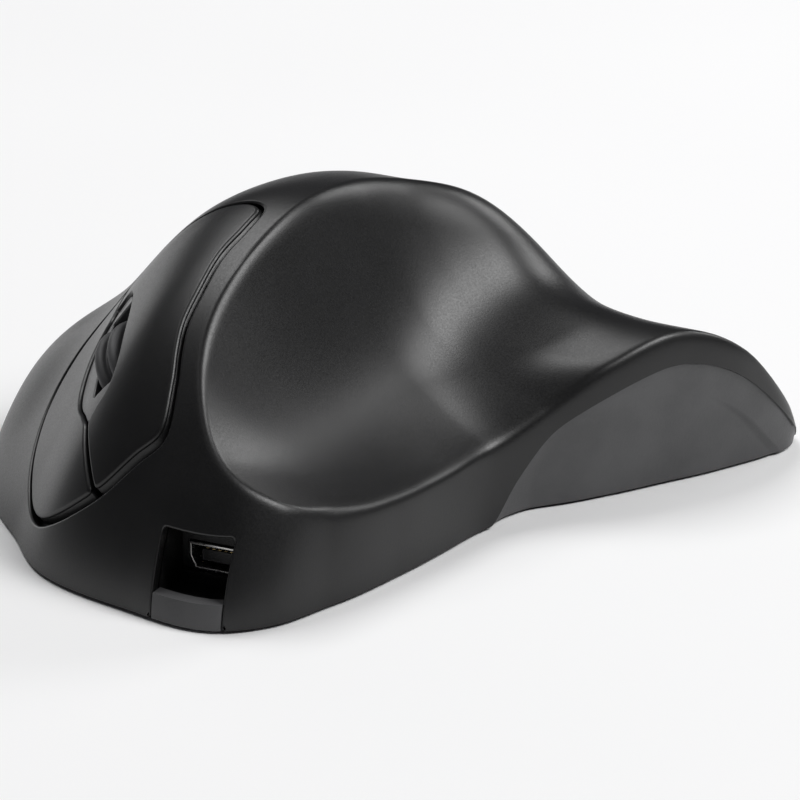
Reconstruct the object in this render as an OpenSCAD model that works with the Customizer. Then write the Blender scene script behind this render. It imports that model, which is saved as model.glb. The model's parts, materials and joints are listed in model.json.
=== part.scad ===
// Palm-supporting ergonomic mouse, right hand, wireless
// Lengths in millimetres, +Z up, +Y where the fingers point, -X the thumb side

/* [Body] */
// Width over the thumb wing and the finger flank
body_w = 140; // [120:1:150]
// Length from the heel to the front wall
body_l = 153; // [135:1:165]
// Height of the ridge line above the table
hump_h = 61.1; // [54:0.5:66]
// Wall of the upper shell
wall_t = 2.2; // [1.6:0.1:3]
// Floor of the lower shell
floor_t = 2.5; // [2:0.1:3.5]
// Wall of the lower shell under the thumb wing
skirt_t = 2; // [1.5:0.1:3]
// Seam between the two shells
seam = 0.25; // [0.15:0.05:0.5]
// How far the lower wall tucks in under the wing
tuck = 6; // [3:0.5:9]

/* [Keys] */
// Gap round the two keys
key_gap = 0.7; // [0.5:0.05:1]
// Extra gap at the front edge of the keys
nose_gap = 0.9; // [0.5:0.1:1.5]
// Wall of a key
key_t = 2; // [1.5:0.1:2.5]
// Roll of the finger slope towards the little finger, degrees
finger_roll = 40; // [36:1:44]
// Pitch of the finger slope towards the front, degrees
finger_pitch = 25; // [22:1:28]
// Depth of the hinge pin under the finger surface
hinge_deep = 9; // [8:0.25:10]
// Distance of the hinge pin behind the wheel
hinge_back = 18; // [17:0.5:19]
// Diameter of the hinge pin
pin_d = 2.4; // [2:0.1:3]
// Thickness of hinge lugs and ears
lug_t = 2.6; // [2.2:0.1:3]
// Wall of plastic round a hinge bore
lug_wall = 1.8; // [1.4:0.1:2.2]
// Radial clearance of a running pin
run_c = 0.04; // [0.02:0.01:0.08]
// Radial clearance of a fixed pin
fix_c = 0.01; // [0.01:0.005:0.02]

/* [Wheel] */
// Outer diameter of the tyre
wheel_d = 22; // [20:0.5:23]
// Width of the tyre
wheel_w = 6; // [5:0.25:6.5]
// How far the tyre stands out of the finger surface
wheel_out = 2; // [1:0.25:2.5]
// Thickness of the tyre
tyre_t = 2.4; // [1.8:0.1:3]
// Diameter of the axle
axle_d = 3; // [2.5:0.1:3.5]
// Thickness of the cradle arms
arm_t = 1.6; // [1.2:0.1:2]
// Gap between wheel and cradle arm
arm_gap = 1.2; // [0.8:0.1:1.4]
// Distance of the cradle pin behind the wheel
cradle_back = 14.5; // [14:0.25:15]
// Diameter of the cradle pin
cradle_pin_d = 2; // [1.6:0.1:2.4]

/* [Switches] */
// Depth of the switch board under the finger surface
board_deep = 14; // [13.5:0.1:14.5]
// Thickness of both circuit boards
board_t = 1.6; // [1.2:0.1:2]
// Height of a key switch
switch_h = 5.5; // [5:0.1:5.8]
// Width of a key switch
switch_w = 5.8; // [5:0.1:6.2]
// Length of a key switch
switch_l = 12; // [10:0.5:12.5]
// Diameter of a switch plunger
plunger_d = 1.8; // [1.4:0.1:2.2]
// Height of a switch plunger above its body
plunger_up = 0.9; // [0.8:0.05:1.2]
// Radial clearance of a plunger in its body
plunger_c = 0.05; // [0.03:0.01:0.1]
// Distance of the key switches in front of the wheel
switch_ahead = 10; // [9:0.25:11]
// Height of the wheel switch
tact_h = 2.2; // [2:0.1:2.4]
// Side of the wheel switch
tact_s = 6; // [5:0.25:6]

/* [Chassis] */
// Thickness of the chassis plate
plate_t = 2.2; // [1.8:0.1:2.6]
// Gap between the switch board and the chassis plate
board_gap = 2; // [1.6:0.1:2.2]
// Diameter of the chassis posts
post_d = 7; // [6.5:0.1:7.5]

/* [Socket] */
// Width of the pocket in the front wall
pocket_w = 14.2; // [13.8:0.1:15]
// Height of the lip below the pocket
lip_h = 4.6; // [4.2:0.1:5]
// Height of the top edge of the pocket
pocket_top = 15.6; // [14:0.1:16.5]
// Wall of the pocket
pocket_t = 1.5; // [1.2:0.1:2]
// Length of the ledge under the socket
ledge_l = 1.5; // [1:0.1:2]
// Width of the socket sleeve at its top
usb_w = 10.9; // [10:0.1:11.5]
// How much each side of the sleeve draws in towards the bottom
usb_in = 1.05; // [0.6:0.05:1.4]
// Height of the socket sleeve
usb_h = 5.1; // [4.6:0.1:5.6]
// Length of the socket sleeve
usb_l = 9.5; // [8:0.5:11]
// How far the sleeve stands out of the back of the pocket
usb_out = 0.75; // [0.4:0.05:1]
// Sheet thickness of the sleeve
usb_t = 0.5; // [0.4:0.05:0.6]

/* [Inside] */
// Height of the main board above the floor
main_up = 1.4; // [1.2:0.1:2]
// Width of the battery
batt_w = 40; // [34:1:44]
// Length of the battery
batt_l = 46; // [40:1:48]
// Height of the battery
batt_h = 9; // [7:0.5:11]
// Thickness of the ribbon cable
ribbon_t = 0.5; // [0.4:0.05:0.8]
// Diameter of the battery wires
lead_d = 1.4; // [1:0.1:1.8]
// Travel of the power slider
power_travel = 3; // [2:0.25:4]

/* [Feet and screws] */
// How far the glide feet stand below the shells
foot_h = 0.6; // [0.4:0.1:0.9]
// Depth of the recess that holds a glide foot
foot_in = 0.5; // [0.3:0.1:0.8]
// Thread diameter of the body screws
screw_d = 2.6; // [2.2:0.1:3]
// Head diameter of the body screws
screw_head_d = 5; // [4.5:0.1:5.5]
// Head height of the body screws
screw_head_h = 1.4; // [1.2:0.1:1.6]
// Length of the body screws under the head
screw_l = 8; // [7:0.5:9]
// Clearance of a screw in its hole
screw_c = 0.2; // [0.1:0.05:0.3]
// Diameter of the screw bosses
boss_d = 7; // [6.5:0.1:7.5]

/* [Hidden] */
$fn = 40;

// Sculpt tables, drawn round a pole under the hump; the body sizes stretch them
// Plan outline of the upper shell, anticlockwise from the little finger side
outline_pts = [[70, 0], [67, 22.3], [45.8, 49.8], [31, 64.3], [10, 71.5], [-8, 74], [-17.5, 67], [-23, 54], [-28, 36],
    [-31, 20], [-33.5, 8], [-40, -3], [-49, -13], [-58, -27], [-66, -42], [-70, -57], [-60, -68], [-35, -76],
    [0, -79], [35, -68], [58, -38]];
// Shape of the edge roll by direction in degrees: how late it starts and how it falls
edge_p = [[0, 7], [30, 5], [60, 3], [90, 2.5], [105, 2.6], [120, 4], [150, 9], [180, 14], [205, 16], [225, 7],
    [250, 3], [300, 3.6]];
edge_q = [[0, 1.7], [30, 1.7], [60, 1.6], [90, 1.6], [105, 1.6], [120, 1.5], [150, 1.3], [180, 1.2], [205, 1.2],
    [225, 1.4], [250, 1.7], [300, 1.7]];
// Height of the parting line by direction: it arches up under the thumb wing
part_line = [[150, 0], [166, 0], [176, 8], [188, 18], [201, 25], [207, 24.5], [212, 19], [217, 9], [221, 1],
    [228, 0], [240, 0]];
// Curves along the length, as pairs of place and value
ridge_x = [[-78, 0], [-45, -4], [-15, -4], [10, -2], [30, 0], [50, 3], [78, 4]];
ridge_z = [[-78, 32], [-45, 49.5], [-15, 58], [10, 60.5], [30, 57.5], [50, 53], [78, 43]];
flank_z = [[-78, 15], [-45, 26], [-15, 29], [10, 28.5], [30, 16], [50, 7], [78, 3]];
bell_w = [[-78, 46], [-45, 44], [-15, 37], [10, 34.5], [30, 35], [50, 32.5], [78, 27]];
bell_n = 3.6;
foot_x = [[-78, -34], [-45, -36], [-15, -15.5], [10, -10], [30, -8], [50, -4.5], [78, -2]];
wall_k = [[-78, 0.6], [-45, 0.9], [-15, 2.3], [10, 2.8], [30, 2], [50, 1.35], [78, 1]];
soft_k = [[-78, 12], [-45, 10], [-15, 10], [10, 9.5], [30, 8], [50, 8], [78, 8]];
tilt_k = [[-78, 0], [-45, 0], [-15, 0.13], [10, 0.25], [30, 0.32], [50, 0.36], [78, 0.4]];
crease = [[-78, 14], [-45, 12], [-15, 9], [10, 5], [30, 2.5], [50, 2], [78, 1.5]];
rim_x = [[-78, -66], [-57, -69], [-42, -66], [-27, -58], [-13, -49], [-3, -40], [8, -33.5], [28, -29], [45, -24],
    [62, -18], [78, -12]];
rim_z = [[-78, 2], [-57, 8.5], [-42, 23.5], [-27, 29.2], [-13, 24.5], [-3, 17.5], [8, 14], [28, 13], [45, 13],
    [62, 18], [78, 26]];
// Plan of the key panel in the finger frame, anticlockwise from its rear corner at the thumb side
panel_pts = [[-34, -22.5], [-32.5, -16], [-29, -9], [-26, -1], [-23, 6], [-21.5, 11], [-19.5, 18], [-15.5, 26],
    [-9, 28.6], [0, 31], [9, 30.5], [16, 28], [20.5, 24], [23.5, 18], [25, 10], [25.3, 1], [24, -8], [20.5, -15],
    [14, -21], [4, -24.5], [-8, -26.2], [-20, -26.7], [-30, -26]];
// Teardrop slot of the wheel in the finger frame
slot_pts = [[-3.5, -16.5], [1.5, -14.5], [5.2, -9], [6.6, -2], [6.8, 4], [5.6, 8.6], [3.6, 12], [1.7, 15.2],
    [-1.4, 13.4], [-5.2, 10.8], [-7.2, 6], [-7.6, 0], [-7.6, -6], [-6.4, -12.5]];

// Smooth curve through a table of pairs
function seg_of(t, x) = max(0, min(len(t) - 2, len([for (p = t) if (p[0] <= x) 1]) - 1));
function slope_at(t, i) =
    let (a = max(0, i - 1), b = min(len(t) - 1, i + 1))
    (t[b][1] - t[a][1]) / (t[b][0] - t[a][0]);
function curve(t, x) =
    let (c = max(t[0][0], min(t[len(t) - 1][0], x)),
        i = seg_of(t, c),
        h = t[i + 1][0] - t[i][0],
        s = (c - t[i][0]) / h)
    (2 * s * s * s - 3 * s * s + 1) * t[i][1] + (s * s * s - 2 * s * s + s) * h * slope_at(t, i)
    + (3 * s * s - 2 * s * s * s) * t[i + 1][1] + (s * s * s - s * s) * h * slope_at(t, i + 1);
// Table of pairs by direction, carried on past both ends of the circle
function wrapped(t) = concat(
    [for (k = [len(t) - 3:len(t) - 1]) [t[k][0] - 360, t[k][1]]], t,
    [for (k = [0:2]) [t[k][0] + 360, t[k][1]]]);
function turn(x, y) = let (a = atan2(y, x)) a < 0 ? a + 360 : a;
// Closed smooth curve through plan points
function loop_pts(p, n) = [for (i = [0:len(p) - 1]) for (k = [0:n - 1])
    let (s = k / n, m = len(p), a = p[(i + m - 1) % m], b = p[i], c = p[(i + 1) % m], d = p[(i + 2) % m])
    b + 0.5 * s * (c - a + s * (2 * a - 5 * b + 4 * c - d + s * (3 * (b - c) + d - a)))];

outline_t = wrapped([for (p = outline_pts) [turn(p[0], p[1]), norm(p)]]);
edge_p_t = wrapped(edge_p);
edge_q_t = wrapped(edge_q);
// Directions of the shell grid, closer together along the crease and the thumb wing
grid_a = concat([for (a = [0:5:65]) a], [for (a = [70:2.5:235]) a], [for (a = [240:5:355]) a]);
grid_n = len(grid_a);
// Rings of the outer and the inner grid, and how they crowd towards the edge
out_rings = 26;
out_power = 1.7;
in_rings = 13;
in_power = 1.6;
plan_pts = [for (a = grid_a) curve(outline_t, a) * [cos(a), sin(a)]];
plan_x = [for (p = plan_pts) p[0]];
plan_y = [for (p = plan_pts) p[1]];
kx = body_w / (max(plan_x) - min(plan_x));
ky = body_l / (max(plan_y) - min(plan_y));
kz = (hump_h - foot_h) / max([for (p = ridge_z) p[1]]);
// The frame stands under the middle of the outline
mid_x = -kx * (max(plan_x) + min(plan_x)) / 2;
mid_y = -ky * (max(plan_y) + min(plan_y)) / 2;

// Sculpt functions: convex dome, thumb scoop, and the smooth lower of the two
function part_z(a) = let (z = curve(part_line, a)) z > 0.05 ? z : 0;
function dome(x, y, t) =
    let (a = turn(x, y),
        rho = min(1, norm([x, y]) / (curve(outline_t, a) - t)),
        e = pow(1 - pow(rho, curve(edge_p_t, a)), 1 / curve(edge_q_t, a)),
        d = max(0, x - curve(ridge_x, y)) / curve(bell_w, y),
        f = curve(flank_z, y),
        roof = f + (curve(ridge_z, y) - f) * exp(-pow(d, bell_n) / 2) - 1.3 * t,
        zp = part_z(a))
    zp + (roof - zp) * e;
function scoop(x, y, t) =
    let (d = x - curve(foot_x, y),
        c = curve(soft_k, y),
        r = sqrt(d * d + c * c),
        k = curve(wall_k, y),
        s = curve(tilt_k, y),
        lean = s + k * (1 + d / r) / 2)
    curve(rim_z, y) + s * (x - curve(rim_x, y)) + k * (d + r) / 2 - t * sqrt(1 + lean * lean);
function smooth_low(a, b, k) = let (h = max(k - abs(a - b), 0) / k) min(a, b) - h * h * k / 4;
function sculpt(x, y, t) = smooth_low(dome(x, y, t), scoop(x, y, t), curve(crease, y) + t);
// Height of the outer or inner face over the lower edge of the shell, in body coordinates
function face_z(x, y, t = 0) = kz * sculpt(x / kx, y / ky, t);

// Levels above the lower edge of the shells
floor_z = floor_t;
main_z = floor_z + main_up;
// Finger frame: on the surface at the wheel, tipped with the slope of the fingers
finger_at = [32 * kx, 39 * ky];
finger_o = [finger_at[0], finger_at[1], face_z(finger_at[0], finger_at[1])];
f1 = [cos(finger_roll), 0, -sin(finger_roll)];
f2 = [-sin(finger_roll) * sin(finger_pitch), cos(finger_pitch), -cos(finger_roll) * sin(finger_pitch)];
f3 = [sin(finger_roll) * cos(finger_pitch), sin(finger_pitch), cos(finger_roll) * cos(finger_pitch)];
function finger_pt(u, v, w) = finger_o + u * f1 + v * f2 + w * f3;
// Height of the outer face in the finger frame, found by halving
function over(u, v, w) = let (p = finger_pt(u, v, w)) p[2] - face_z(p[0], p[1]);
function halve(u, v, lo, hi, n) =
    n == 0 ? (lo + hi) / 2
    : let (m = (lo + hi) / 2) over(u, v, m) > 0 ? halve(u, v, lo, m, n - 1) : halve(u, v, m, hi, n - 1);
function finger_w(u, v) = halve(u, v, -16, 8, 12);

hinge_v = -hinge_back;
hinge_w = -hinge_deep;
hinge_r = pin_d / 2 + lug_wall;
wheel_cw = wheel_out - wheel_d / 2;
board_w = -board_deep;
plate_w = board_w - board_t - board_gap;
arm_u = wheel_w / 2 + arm_gap;
bar_w = board_w + tact_h + 0.8;
arm_h = 2.6;
cradle_v = -cradle_back;
cradle_w = board_w - 0.8;
// Place of the wheel beside and behind the origin of the finger frame
wheel_u = -3;
wheel_v = -1;
bar_v = wheel_d / 2 + 3.5;
front_v = bar_v + 4.5;
ear_t = 2;
key_u = [-13, 11];
left_lugs = kx * [-24.5, -12.6];
right_lugs = kx * [6.4, 12.9];
ears = kx * [-19.5, 9.65];
board_pegs = [[-16, -4], [-8, 16], [6.5, 12.5]];
split_u = 1.6;
split_gap = 0.8;
// Surround of the wheel: gap to the keys, drop under their faces, and half the length of the wheel's opening
bezel_gap = 0.4;
bezel_drop = 0.6;
bezel_room = sqrt(pow(wheel_d / 2, 2) - pow(wheel_cw + 4.5, 2)) + 0.5;
bezel_legs = [[4.1, -6], [4.7, 4.5]];
press_gap = 0.1;
plunger_in = 2.4;
plunger_room = 1.2;
plunge_top = board_w + switch_h + plunger_up;

// Places on the floor
skirt_in = 0.8;
floor_step = 1;
lens_d = 7;
knob_w = 3.4;
knob_l = 4;
stem_w = 1.6;
foot_w = 5;
screw_reach = screw_head_h + screw_l;
feet = [[12 * kx, 62 * ky, -18, 18], [57 * kx, -20 * ky, 75, 18], [-8 * kx, -71 * ky, 0, 22], [-57 * kx, -53 * ky, -40, 14]];
standoff_at = [[-15.5, 11], [9.5, 11], [-15.5, 47], [9.5, 47]];
screw_at = [[-13.5 * kx, 54.5 * ky], [54 * kx, 0], [8 * kx, -64 * ky], [-46 * kx, -34 * ky]];
post_at = [[17 * kx, 14 * ky], [33 * kx, 15 * ky], [20 * kx, 45 * ky]];
port_x = -3.65 * kx;
port_y = 60.7 * ky;
port_z = main_z + board_t + usb_h / 2;
sensor_at = [-9, 27];
power_at = [4, 17];
ribbon_x = 8.25;
ribbon_y = 34;
ribbon_w = 8;

module placed() translate([mid_x, mid_y, foot_h]) children();
module at_fingers() placed() translate(finger_o) rotate([0, finger_roll, 0]) rotate([-finger_pitch, 0, 0]) children();
module at_wheel() at_fingers() translate([wheel_u, 0, 0]) children();
// Cylinder along the finger frame's cross direction
module cross_rod(u0, u1, v, w, d) translate([u0, v, w]) rotate([0, 90, 0]) cylinder(d = d, h = u1 - u0);
// Flat plate standing across the finger frame, drawn as distance ahead and height
module cross_plate(u, t) translate([u, 0, 0]) rotate([90, 0, 90]) linear_extrude(t) children();

// Closed solid under the outer face (t = 0) or under the inner face, whose grid is turned a little so that the
// two grids share no direction
module sculpt_solid(t, rings, power, drop) {
    shift = t > 0 ? 1.1 : 0;
    first = 1 - pow(1 - 1 / rings, power);
    rho = concat([0.3 * first, 0.65 * first], [for (i = [1:rings]) 1 - pow(1 - i / rings, power)]);
    last = len(rho) - 1;
    top = [for (r = rho) for (k = [0:grid_n - 1])
        let (a = grid_a[k] + shift, d = r * (curve(outline_t, a) - t), x = d * cos(a), y = d * sin(a))
        [kx * x, ky * y, r > 0.9999 ? kz * part_z(a) : face_z(kx * x, ky * y, t)]];
    low = [for (k = [0:grid_n - 1]) let (p = top[last * grid_n + k]) [p[0], p[1], p[2] - drop]];
    wall = drop > 0 ? low : [];
    rows = drop > 0 ? last + 2 : last + 1;
    pts = concat(top, wall, [[0, 0, face_z(0, 0, t)], [0, 0, -drop]]);
    crown = rows * grid_n;
    polyhedron(pts, concat(
        [for (k = [0:grid_n - 1]) [crown, (k + 1) % grid_n, k]],
        [for (j = [0:rows - 2]) for (k = [0:grid_n - 1])
            let (m = (k + 1) % grid_n) [j * grid_n + k, j * grid_n + m, (j + 1) * grid_n + m]],
        [for (j = [0:rows - 2]) for (k = [0:grid_n - 1])
            let (m = (k + 1) % grid_n) [j * grid_n + k, (j + 1) * grid_n + m, (j + 1) * grid_n + k]],
        [for (k = [0:grid_n - 1]) [crown + 1, (rows - 1) * grid_n + k, (rows - 1) * grid_n + (k + 1) % grid_n]]),
        convexity = 8);
}

module panel_area() scale([kx, ky]) polygon(loop_pts(panel_pts, 3));
module slot_area() polygon(loop_pts(slot_pts, 4));
module panel_prism() translate([0, 0, -15]) linear_extrude(24) children();
module pocket_box(grow, y0, z0) translate([port_x - pocket_w / 2 - grow, y0, z0])
    cube([pocket_w + 2 * grow, 40, pocket_top + grow - z0]);

module upper_shell() color([0.1, 0.1, 0.11]) resize([0, 0, 0]) difference() {
    union() {
        difference() {
            placed() sculpt_solid(0, out_rings, out_power, 0);
            difference() {
                placed() sculpt_solid(wall_t, in_rings, in_power, 6);
                placed() for (p = screw_at) translate([p[0], p[1], floor_z]) cylinder(d = boss_d, h = 60, $fn = 24);
            }
        }
        placed() translate([screw_at[3][0], screw_at[3][1], floor_z]) cylinder(d = boss_d, h = 12, $fn = 24);
    }
    at_fingers() panel_prism() panel_area();
    placed() pocket_box(0, port_y, -8);
    placed() for (p = screw_at) translate([p[0], p[1], -1]) rotate(7.5)
        cylinder(d = screw_d + 0.1, h = screw_reach + 1.5, $fn = 24);
}

// Lower shell: floor, tucked wall under the wing, lip under the pocket, standoffs
skirt_a = concat([for (a = [167.5:2.5:220]) a], [221.3]);
skirt_n = len(skirt_a);
skirt_rows = 7;
function skirt_share(a) = min(1, part_z(a) / 24);
function skirt_r(a, s, t) = curve(outline_t, a) - skirt_in - tuck * skirt_share(a) * pow(s, 0.7) - t;
// The top of the wall runs along the sloping lower rim of the wing
function skirt_z(a, s, t) = max(0.4, kz * part_z(a) * (1 - (skirt_in + t) / curve(outline_t, a)) - seam) * (1 - s);
// Inner face of the upper shell at a height over its lower edge, along the rings of its grid
function rim_r(a, z) =
    let (r = curve(outline_t, a) - wall_t)
    lookup(z, [for (i = [0:8])
        let (e = r * (1 - pow(i / in_rings, in_power)))
        [i == 0 ? 0 : kz * sculpt(e * cos(a), e * sin(a), wall_t), e]]);
function floor_r(a, z) =
    let (s = max(0, min(1, (kz * part_z(a) - floor_t - seam) / 1.5)))
    (1 - s) * (rim_r(a, z) - seam) + s * (curve(outline_t, a) - skirt_in - 0.3 - tuck * skirt_share(a));
function skirt_pt(j, a, t) =
    let (s = j / skirt_rows, r = skirt_r(a, s, t)) [kx * r * cos(a), ky * r * sin(a), skirt_z(a, s, t)];
module skirt_solid() {
    n = skirt_n;
    half = (skirt_rows + 1) * n;
    e = skirt_rows * n;
    pts = concat([for (j = [0:skirt_rows]) for (a = skirt_a) skirt_pt(j, a, 0)],
        [for (j = [0:skirt_rows]) for (a = skirt_a) skirt_pt(j, a, skirt_t)]);
    polyhedron(pts, concat(
        [for (j = [0:skirt_rows - 1]) for (k = [0:n - 2]) let (i = j * n + k) each
            [[i, i + 1, i + n + 1], [i, i + n + 1, i + n],
            [half + i, half + i + n + 1, half + i + 1], [half + i, half + i + n, half + i + n + 1]]],
        [for (k = [0:n - 2]) each
            [[half + k, half + k + 1, k + 1], [half + k, k + 1, k],
            [half + e + k, e + k + 1, half + e + k + 1], [half + e + k, e + k, e + k + 1]]],
        [for (j = [0:skirt_rows - 1]) let (i = j * n, m = j * n + n - 1) each
            [[half + i, i, i + n], [half + i, i + n, half + i + n],
            [half + m, m + n, m], [half + m, half + m + n, m + n]]]), convexity = 6);
}
module stadium(l, d) {
    translate([-l / 2 + d / 2, -d / 2]) square([l - d, d]);
    for (s = [-1, 1]) translate([s * (l - d) / 2, 0]) circle(d = d);
}
module foot_areas(grow) for (f = feet) translate([f[0], f[1]]) rotate(f[2]) stadium(f[3] + 2 * grow, foot_w + 2 * grow);
module lower_shell() color([0.16, 0.16, 0.17]) difference() {
    union() {
        placed() for (z = [floor_step, floor_t]) linear_extrude(z)
            polygon([for (a = grid_a) floor_r(a, z) * [kx * cos(a), ky * sin(a)]]);
        placed() skirt_solid();
        resize([0, 0, 0]) intersection() {
            difference() {
                placed() sculpt_solid(0, out_rings, out_power, 0);
                difference() {
                    placed() sculpt_solid(wall_t + 0.4, in_rings, in_power, 6);
                    placed() translate([port_x - pocket_w, port_y, -1]) cube([2 * pocket_w, 40, 1 + floor_step]);
                }
            }
            placed() translate([port_x - pocket_w / 2 + seam, port_y, -1]) cube([pocket_w - 2 * seam, 40, lip_h + 1]);
        }
        placed() for (p = standoff_at) translate([p[0], p[1], floor_z - 0.5]) cylinder(d = 4, h = main_up + 0.5);
    }
    placed() for (p = concat(screw_at, post_at)) translate([p[0], p[1], -1]) {
        cylinder(d = screw_head_d + 2 * screw_c, h = 1 + screw_head_h);
        cylinder(d = screw_d + 2 * screw_c, h = 1 + floor_t + 1);
    }
    placed() translate([sensor_at[0], sensor_at[1], -1]) cylinder(d = lens_d + 1, h = floor_t + 2);
    placed() translate([power_at[0] - knob_w / 2 - 0.4, power_at[1] - knob_l / 2 - 0.4, -1])
        cube([knob_w + 0.8, knob_l + 0.8 + power_travel, floor_t + 2]);
    placed() translate([0, 0, -1]) linear_extrude(1 + foot_in) foot_areas(0.1);
}

// Keys: patches of the outer face with hinge lugs and a presser
slab_nx = 26;
slab_ny = 28;
module key_slab() {
    px = [for (i = [0:slab_nx]) kx * (-2 + 60 * i / slab_nx)];
    py = [for (j = [0:slab_ny]) ky * (4 + 66 * j / slab_ny)];
    z = [for (y = py) [for (x = px) face_z(x, y)]];
    n = slab_nx + 1;
    top = [for (j = [0:slab_ny]) for (i = [0:slab_nx]) [px[i], py[j], z[j][i]]];
    low = [for (j = [0:slab_ny]) for (i = [0:slab_nx])
        let (a = max(0, i - 1), b = min(slab_nx, i + 1), c = max(0, j - 1), d = min(slab_ny, j + 1),
            gx = (z[j][b] - z[j][a]) / (px[b] - px[a]), gy = (z[d][i] - z[c][i]) / (py[d] - py[c]))
        [px[i], py[j], z[j][i] - key_t * min(2.4, sqrt(1 + gx * gx + gy * gy))]];
    m = len(top);
    polyhedron(concat(top, low), concat(
        [for (j = [0:slab_ny - 1]) for (i = [0:slab_nx - 1]) let (k = j * n + i) each
            [[k, k + n, k + n + 1], [k, k + n + 1, k + 1],
            [m + k, m + k + n + 1, m + k + n], [m + k, m + k + 1, m + k + n + 1]]],
        [for (i = [0:slab_nx - 1]) let (k = slab_ny * n + i) each
            [[i, i + 1, m + i + 1], [i, m + i + 1, m + i],
            [k, m + k + 1, k + 1], [k, m + k, m + k + 1]]],
        [for (j = [0:slab_ny - 1]) let (k = j * n, r = j * n + slab_nx) each
            [[k, m + k + n, k + n], [k, m + k, m + k + n],
            [r, r + n, m + r + n], [r, m + r + n, m + r]]]), convexity = 6);
}
module key_area() difference() {
    intersection() {
        offset(delta = -key_gap) panel_area();
        translate([0, -nose_gap]) offset(delta = -key_gap) panel_area();
    }
    slot_area();
}
module key_patch(side) resize([0, 0, 0]) intersection() {
    placed() key_slab();
    at_fingers() panel_prism() intersection() {
        key_area();
        translate([split_u + (side < 0 ? -80 - split_gap / 2 : split_gap / 2), -50]) square([80, 100]);
    }
}
module key(side, lugs, u) difference() {
    union() {
        key_patch(side);
        at_fingers() for (l = lugs) cross_plate(l, lug_t) {
            translate([hinge_v, hinge_w]) circle(r = hinge_r);
            translate([hinge_v - 1.5, hinge_w])
                square([5, finger_w(l + lug_t / 2, hinge_v + 1) - key_t / 2 - hinge_w]);
        }
        at_fingers() translate([u, switch_ahead, plunge_top + press_gap])
            cylinder(d = 3.2, h = finger_w(u, switch_ahead) - key_t / 2 - plunge_top - press_gap);
    }
    at_fingers() cross_rod(lugs[0] - 1, lugs[1] + lug_t + 1, hinge_v, hinge_w, pin_d + 2 * run_c);
}
module left_button() color([0.09, 0.09, 0.1]) key(-1, left_lugs, key_u[0]);
module right_button() color([0.09, 0.09, 0.1]) key(1, right_lugs, key_u[1]);
module hinge_pin() color([0.75, 0.75, 0.77])
    at_fingers() cross_rod(left_lugs[0] - 1, right_lugs[1] + lug_t + 0.8, hinge_v, hinge_w, pin_d);

// Chassis on three posts, with ears for the hinge pin and the cradle pin
module finger_chassis() color([0.22, 0.22, 0.24]) difference() {
    union() {
        at_fingers() translate([0, 0, plate_w - plate_t]) linear_extrude(plate_t) difference() {
            polygon([[-20.5, -22], [13, -22], [13, 6], [8, front_v], [-12, front_v], [-14, 13], [-14, 0], [-20.5, -7]]);
            translate([wheel_u - wheel_w / 2 - arm_gap, 2 - wheel_d / 2]) square([wheel_w + 2 * arm_gap, wheel_d - 4]);
        }
        at_fingers() for (u = ears) cross_plate(u, lug_t) {
            translate([hinge_v, hinge_w]) circle(r = hinge_r);
            translate([hinge_v - hinge_r, plate_w - 0.5]) square([2 * hinge_r, hinge_w - plate_w + 0.5]);
        }
        at_wheel() for (u = [-arm_u - arm_t - 0.6 - ear_t, arm_u + arm_t + 0.6]) cross_plate(u, ear_t) {
            translate([cradle_v, cradle_w]) circle(r = 2);
            translate([cradle_v - 2, plate_w - 0.5]) square([4, cradle_w - plate_w + 0.5]);
        }
        at_fingers() for (p = board_pegs) translate([p[0], p[1], plate_w - 0.5]) cylinder(d = 3.4, h = board_gap + 0.5);
        difference() {
            placed() for (p = post_at) translate([p[0], p[1], floor_z]) cylinder(d = post_d, h = 45);
            at_fingers() translate([-100, -100, plate_w - plate_t / 2]) cube([200, 200, 100]);
        }
    }
    at_fingers() cross_rod(-40, 30, hinge_v, hinge_w, pin_d + 2 * fix_c);
    at_fingers() cross_rod(-20, 20, cradle_v, cradle_w, cradle_pin_d + 2 * fix_c);
    placed() for (p = post_at) translate([p[0], p[1], floor_z - 1]) cylinder(d = screw_d + 2 * fix_c, h = screw_reach - floor_z + 1.5);
    placed() translate([ribbon_x - 0.4, ribbon_y - 0.4, main_z]) cube([ribbon_t + 0.8, ribbon_w + 0.8, 40]);
}
module switch_board() color([0.05, 0.3, 0.14]) at_fingers() translate([0, 0, board_w - board_t]) linear_extrude(board_t)
    difference() {
        translate([-19, -9]) square([33, front_v + 9]);
        translate([wheel_u - wheel_w / 2 - arm_gap, -10])
            square([wheel_w + 2 * arm_gap, bar_v - tact_s / 2 - 0.7 + 10]);
        translate([9, front_v - 4]) square([10, 10]);
    }
module key_switch(u) color([0.13, 0.13, 0.14]) at_fingers() difference() {
    translate([u - switch_w / 2, switch_ahead - switch_l / 2, board_w]) cube([switch_w, switch_l, switch_h]);
    translate([u, switch_ahead, board_w + switch_h - plunger_in]) cylinder(d = plunger_d + 2 * plunger_c, h = 10);
}
module key_plunger(u) color([0.85, 0.2, 0.15]) at_fingers()
    translate([u, switch_ahead, board_w + switch_h - plunger_in + plunger_room])
        cylinder(d = plunger_d, h = plunger_in - plunger_room + plunger_up);
module left_switch() key_switch(key_u[0]);
module right_switch() key_switch(key_u[1]);
module left_plunger() key_plunger(key_u[0]);
module right_plunger() key_plunger(key_u[1]);

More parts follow.
